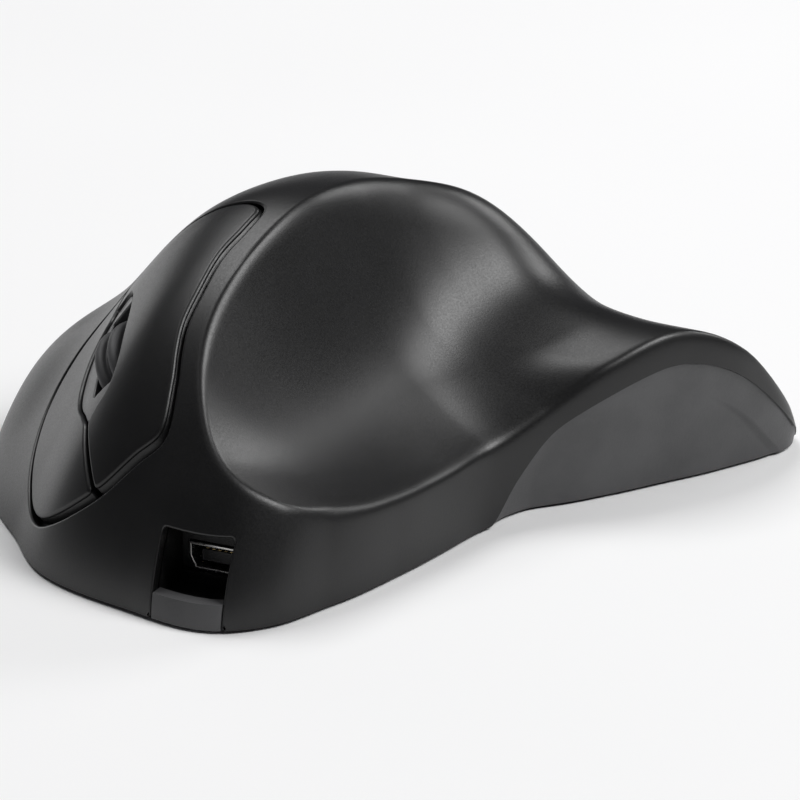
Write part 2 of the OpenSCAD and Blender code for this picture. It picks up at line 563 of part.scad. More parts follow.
// Wheel
module wheel_hub() color([0.2, 0.2, 0.21]) at_wheel() {
    cross_rod(-wheel_w / 2, wheel_w / 2, wheel_v, wheel_cw, wheel_d - 2 * tyre_t);
    cross_rod(-arm_u - arm_t - 3.4, arm_u + arm_t + 0.5, wheel_v, wheel_cw, axle_d);
}
module wheel_tyre() color([0.07, 0.07, 0.075]) at_wheel() translate([0, wheel_v, wheel_cw]) rotate([0, 90, 0])
    rotate_extrude($fn = 72) polygon([[wheel_d / 2 - tyre_t, -wheel_w / 2], [wheel_d / 2 - 0.9, -wheel_w / 2],
        [wheel_d / 2, -wheel_w / 2 + 0.9], [wheel_d / 2, -0.6], [wheel_d / 2 - 0.7, 0], [wheel_d / 2, 0.6],
        [wheel_d / 2, wheel_w / 2 - 0.9], [wheel_d / 2 - 0.9, wheel_w / 2], [wheel_d / 2 - tyre_t, wheel_w / 2]]);
module wheel_cradle() color([0.24, 0.24, 0.26]) at_wheel() difference() {
    union() {
        for (u = [-arm_u - arm_t, arm_u]) cross_plate(u, arm_t) {
            translate([wheel_v, wheel_cw]) circle(d = axle_d + 3.2);
            translate([cradle_v - 1.7, bar_w]) square([bar_v + 1 - cradle_v + 1.7, arm_h]);
            translate([cradle_v - 1.7, cradle_w]) square([3.4, bar_w - cradle_w + 1]);
        }
        translate([-arm_u - 0.5, bar_v - 1, bar_w]) cube([2 * arm_u + 1, 2, arm_h]);
        cross_rod(-arm_u - arm_t, arm_u + arm_t, cradle_v, cradle_w, 4);
    }
    cross_rod(-20, 20, wheel_v, wheel_cw, axle_d + 2 * run_c);
    cross_rod(-20, 20, cradle_v, cradle_w, cradle_pin_d + 2 * run_c);
}
module cradle_pin() color([0.75, 0.75, 0.77]) at_wheel()
    cross_rod(-arm_u - arm_t - 0.6 - ear_t, arm_u + arm_t + 0.6 + ear_t, cradle_v, cradle_w, cradle_pin_d);
module encoder() color([0.12, 0.2, 0.35]) at_wheel() difference() {
    translate([-arm_u - arm_t - 4, wheel_v - 4.6, board_w + 1]) cube([4, 9.2, wheel_cw + 3 - board_w]);
    cross_rod(-arm_u - arm_t - 5, 0, wheel_v, wheel_cw, axle_d + 2 * run_c);
}
module wheel_switch() color([0.13, 0.13, 0.14]) at_wheel() difference() {
    translate([-tact_s / 2, bar_v - tact_s / 2, board_w]) cube([tact_s, tact_s, tact_h]);
    translate([0, bar_v, board_w + 0.5]) cylinder(d = 3 + 2 * plunger_c, h = 10);
}
module wheel_plunger() color([0.85, 0.2, 0.15]) at_wheel()
    translate([0, bar_v, board_w + 1]) cylinder(d = 3, h = bar_w - press_gap - board_w - 1);
// Crescent that fills the slot beside and in front of the wheel, on two legs that stand on the switch board
module wheel_bezel() color([0.14, 0.14, 0.15]) {
    resize([0, 0, 0]) intersection() {
        placed() translate(-bezel_drop * f3) key_slab();
        at_fingers() panel_prism() difference() {
            offset(delta = -bezel_gap) slot_area();
            translate([-20, wheel_v - bezel_room]) square([20 + wheel_u + wheel_w / 2 + 0.7, 2 * bezel_room]);
        }
    }
    at_fingers() for (p = bezel_legs) translate([p[0], p[1], board_w])
        cylinder(d = 1.8, h = finger_w(p[0], p[1]) - bezel_drop - key_t / 2 - board_w);
}

// Socket
function usb_pts(g) = let (w = usb_w / 2 + g, h = usb_h / 2 + g)
    [[-w, h], [-w, 0], [-w + usb_in, -h], [w - usb_in, -h], [w, 0], [w, h]];
module along_port(y, l) placed() translate([port_x, port_y + y, port_z]) rotate([90, 0, 0]) linear_extrude(l) children();
module port_housing() color([0.06, 0.06, 0.065]) resize([0, 0, 0]) intersection() {
    placed() sculpt_solid(wall_t + 0.55, in_rings, in_power, 0);
    difference() {
        placed() translate([port_x - pocket_w / 2 - pocket_t, port_y - pocket_t, floor_z])
            cube([pocket_w + 2 * pocket_t, 30, pocket_top + pocket_t - floor_z]);
        placed() pocket_box(0, port_y, main_z + board_t - 0.2);
        placed() pocket_box(0, port_y + ledge_l, floor_z + 0.6);
        along_port(10, 20) polygon(usb_pts(0.15));
    }
}
module usb_shell() color([0.78, 0.76, 0.72]) {
    along_port(usb_out, usb_l) difference() {
        polygon(usb_pts(0));
        polygon(usb_pts(-usb_t));
    }
    along_port(usb_out - usb_l + usb_t, usb_t) polygon(usb_pts(0));
}
module usb_tongue() color([0.9, 0.9, 0.88]) {
    along_port(usb_out - usb_l + usb_t + 2.5, 2.5) polygon(usb_pts(-usb_t - 0.02));
    along_port(usb_out - 1, usb_l - usb_t - 1) translate([-3.35, -1.1]) square([6.7, 2.2]);
}
module usb_contacts() color([0.85, 0.65, 0.3])
    for (x = [-2.4:1.2:2.4]) along_port(usb_out - 1.4, usb_l - usb_t - 4) translate([x - 0.3, 1.1]) square([0.6, 0.15]);

// Electronics on the floor
module main_board() color([0.05, 0.3, 0.14]) placed() translate([0, 0, main_z]) linear_extrude(board_t) difference() {
    union() {
        translate([-18, 8]) square([30, 41.5]);
        translate([port_x - usb_w / 2 - 0.5, 45]) square([usb_w + 1, port_y - pocket_t - 0.5 - 45]);
    }
    translate(sensor_at) square([7, 7], center = true);
}
module board_chips() color([0.1, 0.1, 0.11]) placed() translate([0, 0, main_z + board_t]) {
    translate([-3, 33, 0]) cube([7, 7, 1]);
    translate([-16, 39.5, 0]) cube([3.5, 5, 1.2]);
    translate([-2, 9, 0]) cube([8, 5, 4]);
    translate([7, 33, 0]) cube([1.25, 10, 2.5]);
}
module sensor_chip() color([0.08, 0.08, 0.09])
    placed() translate([sensor_at[0] - 5, sensor_at[1] - 6.5, main_z + board_t]) cube([10, 13, 2.6]);
module sensor_lens() color([0.8, 0.85, 0.9, 0.6]) placed() translate([sensor_at[0], sensor_at[1], 0]) {
    translate([-7, -8, floor_z]) cube([14, 16, main_up]);
    translate([0, 0, 0.8]) cylinder(d = lens_d, h = floor_z);
}
module battery() color([0.2, 0.35, 0.6]) placed()
    translate([-batt_w / 2, -8 - batt_l, floor_z]) cube([batt_w, batt_l, batt_h]);
module battery_lead() color([0.7, 0.1, 0.1]) placed() for (x = [0.4, 3.4])
    translate([x, -8, main_z + board_t + 2]) rotate([-90, 0, 0]) cylinder(d = lead_d, h = 17);
module ribbon_cable() color([0.85, 0.85, 0.8]) difference() {
    placed() translate([ribbon_x, ribbon_y, main_z + board_t]) cube([ribbon_t, ribbon_w, 40]);
    at_fingers() translate([-100, -100, board_w - board_t]) cube([200, 200, 100]);
}
module power_switch() color([0.13, 0.13, 0.14]) placed() translate([power_at[0], power_at[1], 0]) difference() {
    translate([-3, -5, floor_z + 0.1]) cube([6, 10 + power_travel, main_z - floor_z - 0.1]);
    translate([-stem_w / 2 - 0.2, -1.2, floor_z - 1]) cube([stem_w + 0.4, 2.4 + power_travel, main_z - floor_z + 0.6]);
}
module power_slider() color([0.6, 0.6, 0.62]) placed() translate([power_at[0], power_at[1], 0]) {
    translate([-knob_w / 2, -knob_l / 2, 0.7]) cube([knob_w, knob_l, floor_z - 0.9]);
    translate([-stem_w / 2, -1, 1]) cube([stem_w, 2, main_z - 0.6 - 1]);
}
module glide_feet() color([0.55, 0.55, 0.56]) placed() translate([0, 0, -foot_h])
    linear_extrude(foot_h + foot_in) foot_areas(0);
module body_screws() color([0.4, 0.4, 0.42]) placed() for (p = concat(screw_at, post_at)) translate([p[0], p[1], 0]) {
    difference() {
        cylinder(d = screw_head_d, h = screw_head_h);
        translate([-1.6, -0.35, -1]) cube([3.2, 0.7, 1.7]);
        translate([-0.35, -1.6, -1]) cube([0.7, 3.2, 1.7]);
    }
    translate([0, 0, screw_head_h - 0.1]) cylinder(d = screw_d, h = screw_l + 0.1);
}

upper_shell();
lower_shell();
left_button();
right_button();
hinge_pin();
finger_chassis();
switch_board();
left_switch();
right_switch();
left_plunger();
right_plunger();
wheel_hub();
wheel_tyre();
wheel_cradle();
cradle_pin();
encoder();
wheel_switch();
wheel_plunger();
wheel_bezel();
port_housing();
usb_shell();
usb_tongue();
usb_contacts();
main_board();
board_chips();
sensor_chip();
sensor_lens();
battery();
battery_lead();
ribbon_cable();
power_switch();
power_slider();
glide_feet();
body_screws();
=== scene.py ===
import json
import math

import bpy
import numpy as np
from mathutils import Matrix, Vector
from mathutils.geometry import delaunay_2d_cdt

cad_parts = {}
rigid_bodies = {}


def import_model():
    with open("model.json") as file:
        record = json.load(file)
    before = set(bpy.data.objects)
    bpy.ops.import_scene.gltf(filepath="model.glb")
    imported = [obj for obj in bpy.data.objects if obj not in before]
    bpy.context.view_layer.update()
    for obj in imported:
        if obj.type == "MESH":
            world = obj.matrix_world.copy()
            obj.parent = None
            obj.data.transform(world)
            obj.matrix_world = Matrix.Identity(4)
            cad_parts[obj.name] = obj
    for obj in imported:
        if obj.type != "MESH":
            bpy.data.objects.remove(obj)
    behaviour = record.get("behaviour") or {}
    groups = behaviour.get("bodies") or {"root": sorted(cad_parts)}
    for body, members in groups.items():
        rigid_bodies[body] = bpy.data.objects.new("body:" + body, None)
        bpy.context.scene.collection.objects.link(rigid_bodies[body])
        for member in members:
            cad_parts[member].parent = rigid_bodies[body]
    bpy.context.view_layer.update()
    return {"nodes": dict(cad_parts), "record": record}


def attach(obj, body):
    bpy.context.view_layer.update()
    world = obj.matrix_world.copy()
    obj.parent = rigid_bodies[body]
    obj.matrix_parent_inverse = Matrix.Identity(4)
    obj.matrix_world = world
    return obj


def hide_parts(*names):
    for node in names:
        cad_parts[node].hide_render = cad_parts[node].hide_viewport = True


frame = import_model()
nodes = frame["nodes"]
MM = 0.001

# Sizes in millimetres: body, walls, keys, surround of the wheel, wheel, pocket of the socket
BODY_W, BODY_L, HUMP_H = 140.0, 153.0, 61.1
FOOT_H, WALL_T, KEY_T = 0.6, 2.2, 2.0
KEY_GAP, NOSE_GAP, SPLIT_U, SPLIT_GAP = 0.7, 0.9, 1.6, 0.8
BEZEL_GAP, BEZEL_DROP = 0.4, 0.6
WHEEL_D, WHEEL_W, TYRE_T = 22.0, 6.0, 2.4
WHEEL_U, WHEEL_V, WHEEL_OUT = -3.0, -1.0, 2.0
POCKET_W, POCKET_TOP, POCKET_X, POCKET_R = 14.2, 15.6, -3.65, 0.9

# Plan outline, round a pole under the hump
OUTLINE = [(70, 0), (67, 22.3), (45.8, 49.8), (31, 64.3), (10, 71.5), (-8, 74), (-17.5, 67), (-23, 54),
           (-28, 36), (-31, 20), (-33.5, 8), (-40, -3), (-49, -13), (-58, -27), (-66, -42), (-70, -57),
           (-60, -68), (-35, -76), (0, -79), (35, -68), (58, -38)]
# Roundness of the edge by angle, as two powers
EDGE_P = [(0, 7), (30, 5), (60, 3), (90, 2.5), (105, 2.6), (120, 4), (150, 9), (180, 14), (205, 16),
          (225, 7), (250, 3), (300, 3.6)]
EDGE_Q = [(0, 1.7), (30, 1.7), (60, 1.6), (90, 1.6), (105, 1.6), (120, 1.5), (150, 1.3), (180, 1.2),
          (205, 1.2), (225, 1.4), (250, 1.7), (300, 1.7)]
# Height of the parting line by angle
PART_LINE = [(150, 0), (166, 0), (176, 8), (188, 18), (201, 25), (207, 24.5), (212, 19), (217, 9), (221, 1),
             (228, 0), (240, 0)]
# Dome along the body: its ridge, height of the flank, bell between the two, and depth of an inner roof
RIDGE_X = [(-78, 0), (-45, -4), (-15, -4), (10, -2), (30, 0), (50, 3), (78, 4)]
RIDGE_Z = [(-78, 32), (-45, 49.5), (-15, 58), (10, 60.5), (30, 57.5), (50, 53), (78, 43)]
FLANK_Z = [(-78, 15), (-45, 26), (-15, 29), (10, 28.5), (30, 16), (50, 7), (78, 3)]
BELL_W = [(-78, 46), (-45, 44), (-15, 37), (10, 34.5), (30, 35), (50, 32.5), (78, 27)]
BELL_N, ROOF_T = 3.6, 1.3
# Thumb scoop along the body: foot, steepness and softness of its wall, tilt of its bed, width of the crease
FOOT_X = [(-78, -34), (-45, -36), (-15, -15.5), (10, -10), (30, -8), (50, -4.5), (78, -2)]
WALL_K = [(-78, 0.6), (-45, 0.9), (-15, 2.3), (10, 2.8), (30, 2), (50, 1.35), (78, 1)]
SOFT_K = [(-78, 12), (-45, 10), (-15, 10), (10, 9.5), (30, 8), (50, 8), (78, 8)]
TILT_K = [(-78, 0), (-45, 0), (-15, 0.13), (10, 0.25), (30, 0.32), (50, 0.36), (78, 0.4)]
CREASE = [(-78, 14), (-45, 12), (-15, 9), (10, 5), (30, 2.5), (50, 2), (78, 1.5)]
CREASE_MIN = 0.1
# Rim of the scoop, its height, the height of the bed inside it, and the run from one to the other
RIM_X = [(-78, -66), (-57, -69), (-42, -66), (-27, -58), (-13, -49), (-3, -40), (8, -33.5), (28, -29),
         (45, -24), (62, -18), (78, -12)]
RIM_Z = [(-78, 2), (-57, 8.5), (-42, 23.5), (-27, 29.8), (-13, 25.7), (-3, 18), (8, 12.4), (28, 12.6),
         (45, 14.2), (62, 18.6), (78, 26)]
BED_Z = [(-78, 2), (-57, 8.5), (-42, 23), (-27, 29), (-13, 23.8), (-3, 18.6), (8, 14.6), (28, 12.9),
         (45, 13.8), (62, 18), (78, 26)]
BED_RUN = 16
# Key panel and wheel slot in the finger frame
PANEL = [(-34, -22.5), (-32.5, -16), (-29, -9), (-26, -1), (-23, 6), (-21.5, 11), (-19.5, 18), (-15.5, 26),
         (-9, 28.6), (0, 31), (9, 30.5), (16, 28), (20.5, 24), (23.5, 18), (25, 10), (25.3, 1), (24, -8),
         (20.5, -15), (14, -21), (4, -24.5), (-8, -26.2), (-20, -26.7), (-30, -26)]
SLOT = [(-3.5, -16.5), (1.5, -14.5), (5.2, -9), (6.6, -2), (6.8, 4), (5.6, 8.6), (3.6, 12), (1.7, 15.2),
        (-1.4, 13.4), (-5.2, 10.8), (-7.2, 6), (-7.6, 0), (-7.6, -6), (-6.4, -12.5)]


# Curves and sculpt functions
def curve(table, x):
    """Smooth curve through the points of a table, held level beyond its ends."""
    t = np.asarray(table, float)
    xs, ys = t[:, 0], t[:, 1]
    m = np.empty_like(ys)
    m[1:-1] = (ys[2:] - ys[:-2]) / (xs[2:] - xs[:-2])
    m[0] = (ys[1] - ys[0]) / (xs[1] - xs[0])
    m[-1] = (ys[-1] - ys[-2]) / (xs[-1] - xs[-2])
    x = np.clip(x, xs[0], xs[-1])
    i = np.clip(np.searchsorted(xs, x, side="right") - 1, 0, len(xs) - 2)
    h = xs[i + 1] - xs[i]
    s = (x - xs[i]) / h
    return ((2 * s**3 - 3 * s**2 + 1) * ys[i] + (s**3 - 2 * s**2 + s) * h * m[i]
            + (3 * s**2 - 2 * s**3) * ys[i + 1] + (s**3 - s**2) * h * m[i + 1])


def ease(x):
    x = np.clip(x, 0, 1)
    return x * x * (3 - 2 * x)


def halve(lo, hi, below, times):
    """Bisection between lo and hi for the end of the stretch in which below holds."""
    for _ in range(times):
        m = (lo + hi) / 2
        low = below(m)
        lo, hi = np.where(low, m, lo), np.where(low, hi, m)
    return (lo + hi) / 2


def unit(v):
    return v / np.maximum(np.linalg.norm(v, axis=-1, keepdims=True), 1e-12)


def wrapped(table):
    """Table of a full turn, with three of its points repeated before and after."""
    return [(a - 360, v) for a, v in table[-3:]] + table + [(a + 360, v) for a, v in table[:3]]


def turn(x, y):
    return np.degrees(np.arctan2(y, x)) % 360


RADII = wrapped([(float(turn(x, y)), math.hypot(x, y)) for x, y in OUTLINE])
POWERS_P, POWERS_Q = wrapped(EDGE_P), wrapped(EDGE_Q)


def outline_r(a):
    return curve(RADII, a)


def part_z(a):
    z = curve(PART_LINE, a)
    return np.where(z > 0.05, z, 0.0)


# Scales from the tables to the sizes of the body, and its shift to the frame's origin
PLAN_A = np.concatenate([np.arange(0, 66, 5), np.arange(70, 235.1, 2.5), np.arange(240, 356, 5)])
PLAN_X = outline_r(PLAN_A) * np.cos(np.radians(PLAN_A))
PLAN_Y = outline_r(PLAN_A) * np.sin(np.radians(PLAN_A))
SCALE_X = BODY_W / (PLAN_X.max() - PLAN_X.min())
SCALE_Y = BODY_L / (PLAN_Y.max() - PLAN_Y.min())
SCALE_Z = (HUMP_H - FOOT_H) / max(z for _, z in RIDGE_Z)
SHIFT = np.array([-SCALE_X * (PLAN_X.max() + PLAN_X.min()) / 2,
                  -SCALE_Y * (PLAN_Y.max() + PLAN_Y.min()) / 2, FOOT_H])


def dome(x, y, t):
    """Height of the palm dome, for a skin that lies t under the outside."""
    a = turn(x, y)
    rho = np.minimum(1, np.hypot(x, y) / (outline_r(a) - t))
    e = (1 - rho ** curve(POWERS_P, a)) ** (1 / curve(POWERS_Q, a))
    d = np.maximum(0, x - curve(RIDGE_X, y)) / curve(BELL_W, y)
    f = curve(FLANK_Z, y)
    roof = f + (curve(RIDGE_Z, y) - f) * np.exp(-d**BELL_N / 2) - ROOF_T * t
    zp = part_z(a)
    return zp + (roof - zp) * e


def scoop(x, y, t):
    """Height of the thumb bed and the wall that rises from it."""
    d = x - curve(FOOT_X, y)
    r = np.sqrt(d * d + curve(SOFT_K, y) ** 2)
    k, s = curve(WALL_K, y), curve(TILT_K, y)
    lean = s + k * (1 + d / r) / 2
    out = x - curve(RIM_X, y)
    share = ease(out / BED_RUN)
    base = curve(RIM_Z, y) * (1 - share) + curve(BED_Z, y) * share
    return base + s * out + k * (d + r) / 2 - t * np.sqrt(1 + lean * lean)


def sculpt(x, y, t=0.0):
    """The lower of dome and scoop with a rounded crease, which narrows where the body is low."""
    a, b = dome(x, y, t), scoop(x, y, t)
    low = np.maximum(0, np.minimum(a, b))
    k = np.minimum(curve(CREASE, y) + t, 2 * low + CREASE_MIN)
    h = np.maximum(k - np.abs(a - b), 0) / k
    return np.maximum(0, low - h * h * k / 4)


def face_z(px, py, t=0.0):
    return SCALE_Z * sculpt(px / SCALE_X, py / SCALE_Y, t)


# Finger frame: on the surface at the wheel, tipped with the slope of the fingers
ROLL, PITCH = math.radians(40), math.radians(25)
AXIS_U = np.array([math.cos(ROLL), 0, -math.sin(ROLL)])
AXIS_V = np.array([-math.sin(ROLL) * math.sin(PITCH), math.cos(PITCH), -math.cos(ROLL) * math.sin(PITCH)])
AXIS_W = np.array([math.sin(ROLL) * math.cos(PITCH), math.sin(PITCH), math.cos(ROLL) * math.cos(PITCH)])
FINGER_AT = np.array([32 * SCALE_X, 39 * SCALE_Y, 0.0])
FINGER_AT[2] = face_z(FINGER_AT[0], FINGER_AT[1])
FINGER_LOW, FINGER_HIGH = -26.0, 8.0
AXLE_W = WHEEL_OUT - WHEEL_D / 2


def finger_pt(u, v, w):
    return (FINGER_AT + np.multiply.outer(u, AXIS_U) + np.multiply.outer(v, AXIS_V)
            + np.multiply.outer(w, AXIS_W))


def finger_w(u, v, t=0.0):
    """Height of the body's surface over the finger frame."""
    def below(w):
        p = finger_pt(u, v, w)
        return p[..., 2] <= face_z(p[..., 0], p[..., 1], t)

    return halve(np.full(np.shape(u), FINGER_LOW), np.full(np.shape(u), FINGER_HIGH), below, 34)


def finger_normal(u, v):
    h = 0.05
    gu = (finger_w(u + h, v) - finger_w(u - h, v)) / (2 * h)
    gv = (finger_w(u, v + h) - finger_w(u, v - h)) / (2 * h)
    return unit(AXIS_W - np.multiply.outer(gu, AXIS_U) - np.multiply.outer(gv, AXIS_V))


# Plane curve tools
def loop_pts(points, n):
    """Smooth closed curve through the points, with n steps from each to the next."""
    p = np.asarray(points, float)
    a, b, c, d = np.roll(p, 1, 0), p, np.roll(p, -1, 0), np.roll(p, -2, 0)
    s = (np.arange(n) / n)[None, :, None]
    a, b, c, d = (q[:, None, :] for q in (a, b, c, d))
    bend = 2 * a - 5 * b + 4 * c - d + s * (3 * (b - c) + d - a)
    return (b + 0.5 * s * (c - a + s * bend)).reshape(-1, 2)


def anticlockwise(p):
    q = np.roll(p, -1, 0)
    return p if np.sum(p[:, 0] * q[:, 1] - p[:, 1] * q[:, 0]) > 0 else p[::-1]


def resample(p, step):
    """Points at even steps round a closed outline."""
    q = np.vstack([p, p[:1]])
    s = np.concatenate([[0], np.cumsum(np.linalg.norm(np.diff(q, axis=0), axis=1))])
    n = max(12, int(round(s[-1] / step)))
    t = np.linspace(0, s[-1], n, endpoint=False)
    return np.stack([np.interp(t, s, q[:, k]) for k in range(2)], 1)


def soften(p, step, sigma):
    """Rounds the corners of a closed outline by an average along its length."""
    p = resample(p, step)
    n = len(p)
    k = np.minimum(np.arange(n), n - np.arange(n)) * step
    g = np.exp(-0.5 * (k / sigma) ** 2)
    g = np.fft.fft(g / g.sum())
    return np.stack([np.real(np.fft.ifft(np.fft.fft(p[:, i]) * g)) for i in range(2)], 1)


def outward(p):
    t = np.roll(p, -1, 0) - np.roll(p, 1, 0)
    n = np.stack([t[:, 1], -t[:, 0]], 1)
    return n / np.linalg.norm(n, axis=1, keepdims=True)


def inside(points, poly):
    """Which of the points lie in a closed outline."""
    x, y = points[:, 0], points[:, 1]
    hit = np.zeros(len(points), bool)
    for (x0, y0), (x1, y1) in zip(poly, np.roll(poly, -1, 0)):
        cross = (y0 > y) != (y1 > y)
        with np.errstate(divide="ignore", invalid="ignore"):
            at = x0 + (y - y0) * (x1 - x0) / (y1 - y0)
        hit ^= cross & (x < at)
    return hit


def nearest(points, loop):
    """Distance from each point to the nearest point of a loop, worked out in blocks."""
    out = np.full(len(points), 1e9)
    for k in range(0, len(loop), 64):
        d = np.linalg.norm(points[:, None, :] - loop[None, k:k + 64, :], axis=2).min(1)
        out = np.minimum(out, d)
    return out


def triangulate(points, edges):
    """Triangles between the points, along the given edges."""
    r = delaunay_2d_cdt([Vector(map(float, p)) for p in points], edges, [], 0, 1e-7)
    src = [o[0] if o else -1 for o in r[3]]
    tri = np.array([[src[i] for i in f] for f in r[2]], int)
    return tri[(tri >= 0).all(1)]


class Build:
    """Collects vertices in millimetres and faces with a normal at each corner."""

    def __init__(self):
        self.v, self.f, self.n = [], [], []
        self.count = 0

    def points(self, p):
        p = np.asarray(p, float).reshape(-1, 3)
        self.v.append(p)
        i = np.arange(self.count, self.count + len(p))
        self.count += len(p)
        return i

    def all_points(self):
        if len(self.v) > 1:
            self.v = [np.vstack(self.v)]
        return self.v[0]

    def faces(self, idx, normals=None, toward=None):
        """Adds triangles or quads. Normals are looked up by vertex number, or flat where there are none.
        The faces are turned toward a direction, if one is given for all or for each."""
        idx = np.asarray(idx, int)
        p = self.all_points()[idx]
        if idx.shape[1] == 4:
            g = np.cross(p[:, 2] - p[:, 0], p[:, 3] - p[:, 1])
        else:
            g = np.cross(p[:, 1] - p[:, 0], p[:, 2] - p[:, 0])
        if toward is not None:
            bad = np.sum(g * toward, 1) < 0
            idx[bad] = idx[bad][:, ::-1]
            g[bad] *= -1
        size = np.linalg.norm(g, axis=1)
        keep = size > 1e-9
        idx, g = idx[keep], g[keep] / size[keep][:, None]
        for k, face in enumerate(idx):
            self.f.append([int(i) for i in face])
            if normals is None:
                self.n.extend([tuple(g[k])] * len(face))
            else:
                self.n.extend([tuple(normals[i]) for i in face])

    def strip(self, a, b, closed, normals=None, toward=None):
        """Quads between two rows of vertices."""
        a, b = np.asarray(a), np.asarray(b)
        k = np.arange(len(a) if closed else len(a) - 1)
        m = (k + 1) % len(a)
        self.faces(np.stack([a[k], a[m], b[m], b[k]], 1), normals, toward)

    def rolled(self, first, at, up, side, r, degrees, normals, closed=True):
        """Quarter round of radius r from a row that faces up to one that faces sideways. The function at
        gives the line at a distance from the finished edge. Returns the rows after the first."""
        rows = [first]
        toward = up + side if closed else (up + side)[:-1]
        for phi in np.radians(degrees):
            row = self.points(at(r * (1 - math.sin(phi))) - up * r * (1 - math.cos(phi)) + SHIFT)
            note(normals, row, unit(up * math.cos(phi) + side * math.sin(phi)))
            self.strip(rows[-1], row, closed, normals, toward)
            rows.append(row)
        return rows[1:]

    def piece(self, name, body, slot, material, *replaced):
        mesh = bpy.data.meshes.new(name)
        mesh.from_pydata([tuple(p) for p in self.all_points() * MM], [], self.f)
        mesh.polygons.foreach_set("use_smooth", [True] * len(mesh.polygons))
        mesh.normals_split_custom_set(self.n)
        mesh.materials.append(material)
        ob = bpy.data.objects.new(name, mesh)
        bpy.context.scene.collection.objects.link(ob)
        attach(ob, body)
        if replaced:
            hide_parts(*replaced)
        return ob


def note(normals, index, values):
    """Keeps one normal for each vertex number."""
    for i, v in zip(np.ravel(index), np.reshape(values, (-1, 3))):
        normals[int(i)] = v


def across(direction, up):
    """The part of a direction that lies in the surface with the normal up, at unit length."""
    return unit(direction - np.sum(direction * up, 1)[:, None] * up)


# Materials
PATCH_SCALE, GRAIN_DEPTH = 90.0, 0.00006


def new_material(name):
    m = bpy.data.materials.new(name)
    m.use_nodes = True
    m.node_tree.nodes.clear()
    out = m.node_tree.nodes.new("ShaderNodeOutputMaterial")
    sh = m.node_tree.nodes.new("ShaderNodeBsdfPrincipled")
    m.node_tree.links.new(sh.outputs["BSDF"], out.inputs["Surface"])
    return m, m.node_tree, sh


def noise(tree, coords, scale, detail=2.0, rough=0.5):
    n = tree.nodes.new("ShaderNodeTexNoise")
    n.inputs["Scale"].default_value = scale
    n.inputs["Detail"].default_value = detail
    n.inputs["Roughness"].default_value = rough
    tree.links.new(coords.outputs["Object"], n.inputs["Vector"])
    return n


def ramp(tree, source, low, high):
    r = tree.nodes.new("ShaderNodeValToRGB")
    first, second = r.color_ramp.elements
    first.position, second.position = 0.35, 0.65
    first.color, second.color = (*low, 1), (*high, 1)
    tree.links.new(source.outputs["Fac"], r.inputs["Fac"])
    return r


def span(tree, source, low, high):
    m = tree.nodes.new("ShaderNodeMapRange")
    m.inputs["From Min"].default_value, m.inputs["From Max"].default_value = 0.3, 0.7
    m.inputs["To Min"].default_value, m.inputs["To Max"].default_value = low, high
    tree.links.new(source.outputs["Fac"], m.inputs["Value"])
    return m


def grained(name, low, high, rough, grain, bump, metal=0.0, coat=0.0):
    """Moulded or ground surface: slow patches of tone and gloss, and a fine grain in the height."""
    m, tree, sh = new_material(name)
    coords = tree.nodes.new("ShaderNodeTexCoord")
    slow = noise(tree, coords, PATCH_SCALE, 3.0)
    fine = noise(tree, coords, grain, 3.0, 0.6)
    tree.links.new(ramp(tree, slow, low, high).outputs["Color"], sh.inputs["Base Color"])
    tree.links.new(span(tree, fine, *rough).outputs["Result"], sh.inputs["Roughness"])
    b = tree.nodes.new("ShaderNodeBump")
    b.inputs["Strength"].default_value = bump
    b.inputs["Distance"].default_value = GRAIN_DEPTH
    tree.links.new(fine.outputs["Fac"], b.inputs["Height"])
    tree.links.new(b.outputs["Normal"], sh.inputs["Normal"])
    sh.inputs["Metallic"].default_value = metal
    sh.inputs["Coat Weight"].default_value = coat
    return m


def clear(name):
    """Clear moulding with a faint change of tint and gloss."""
    m, tree, sh = new_material(name)
    fine = noise(tree, tree.nodes.new("ShaderNodeTexCoord"), 700)
    tint = ramp(tree, fine, (0.86, 0.9, 0.94), (0.92, 0.95, 0.97))
    tree.links.new(tint.outputs["Color"], sh.inputs["Base Color"])
    tree.links.new(span(tree, fine, 0.04, 0.1).outputs["Result"], sh.inputs["Roughness"])
    sh.inputs["Transmission Weight"].default_value = 1.0
    sh.inputs["IOR"].default_value = 1.49
    return m


def grey(v):
    return (v, v, v * 1.03)


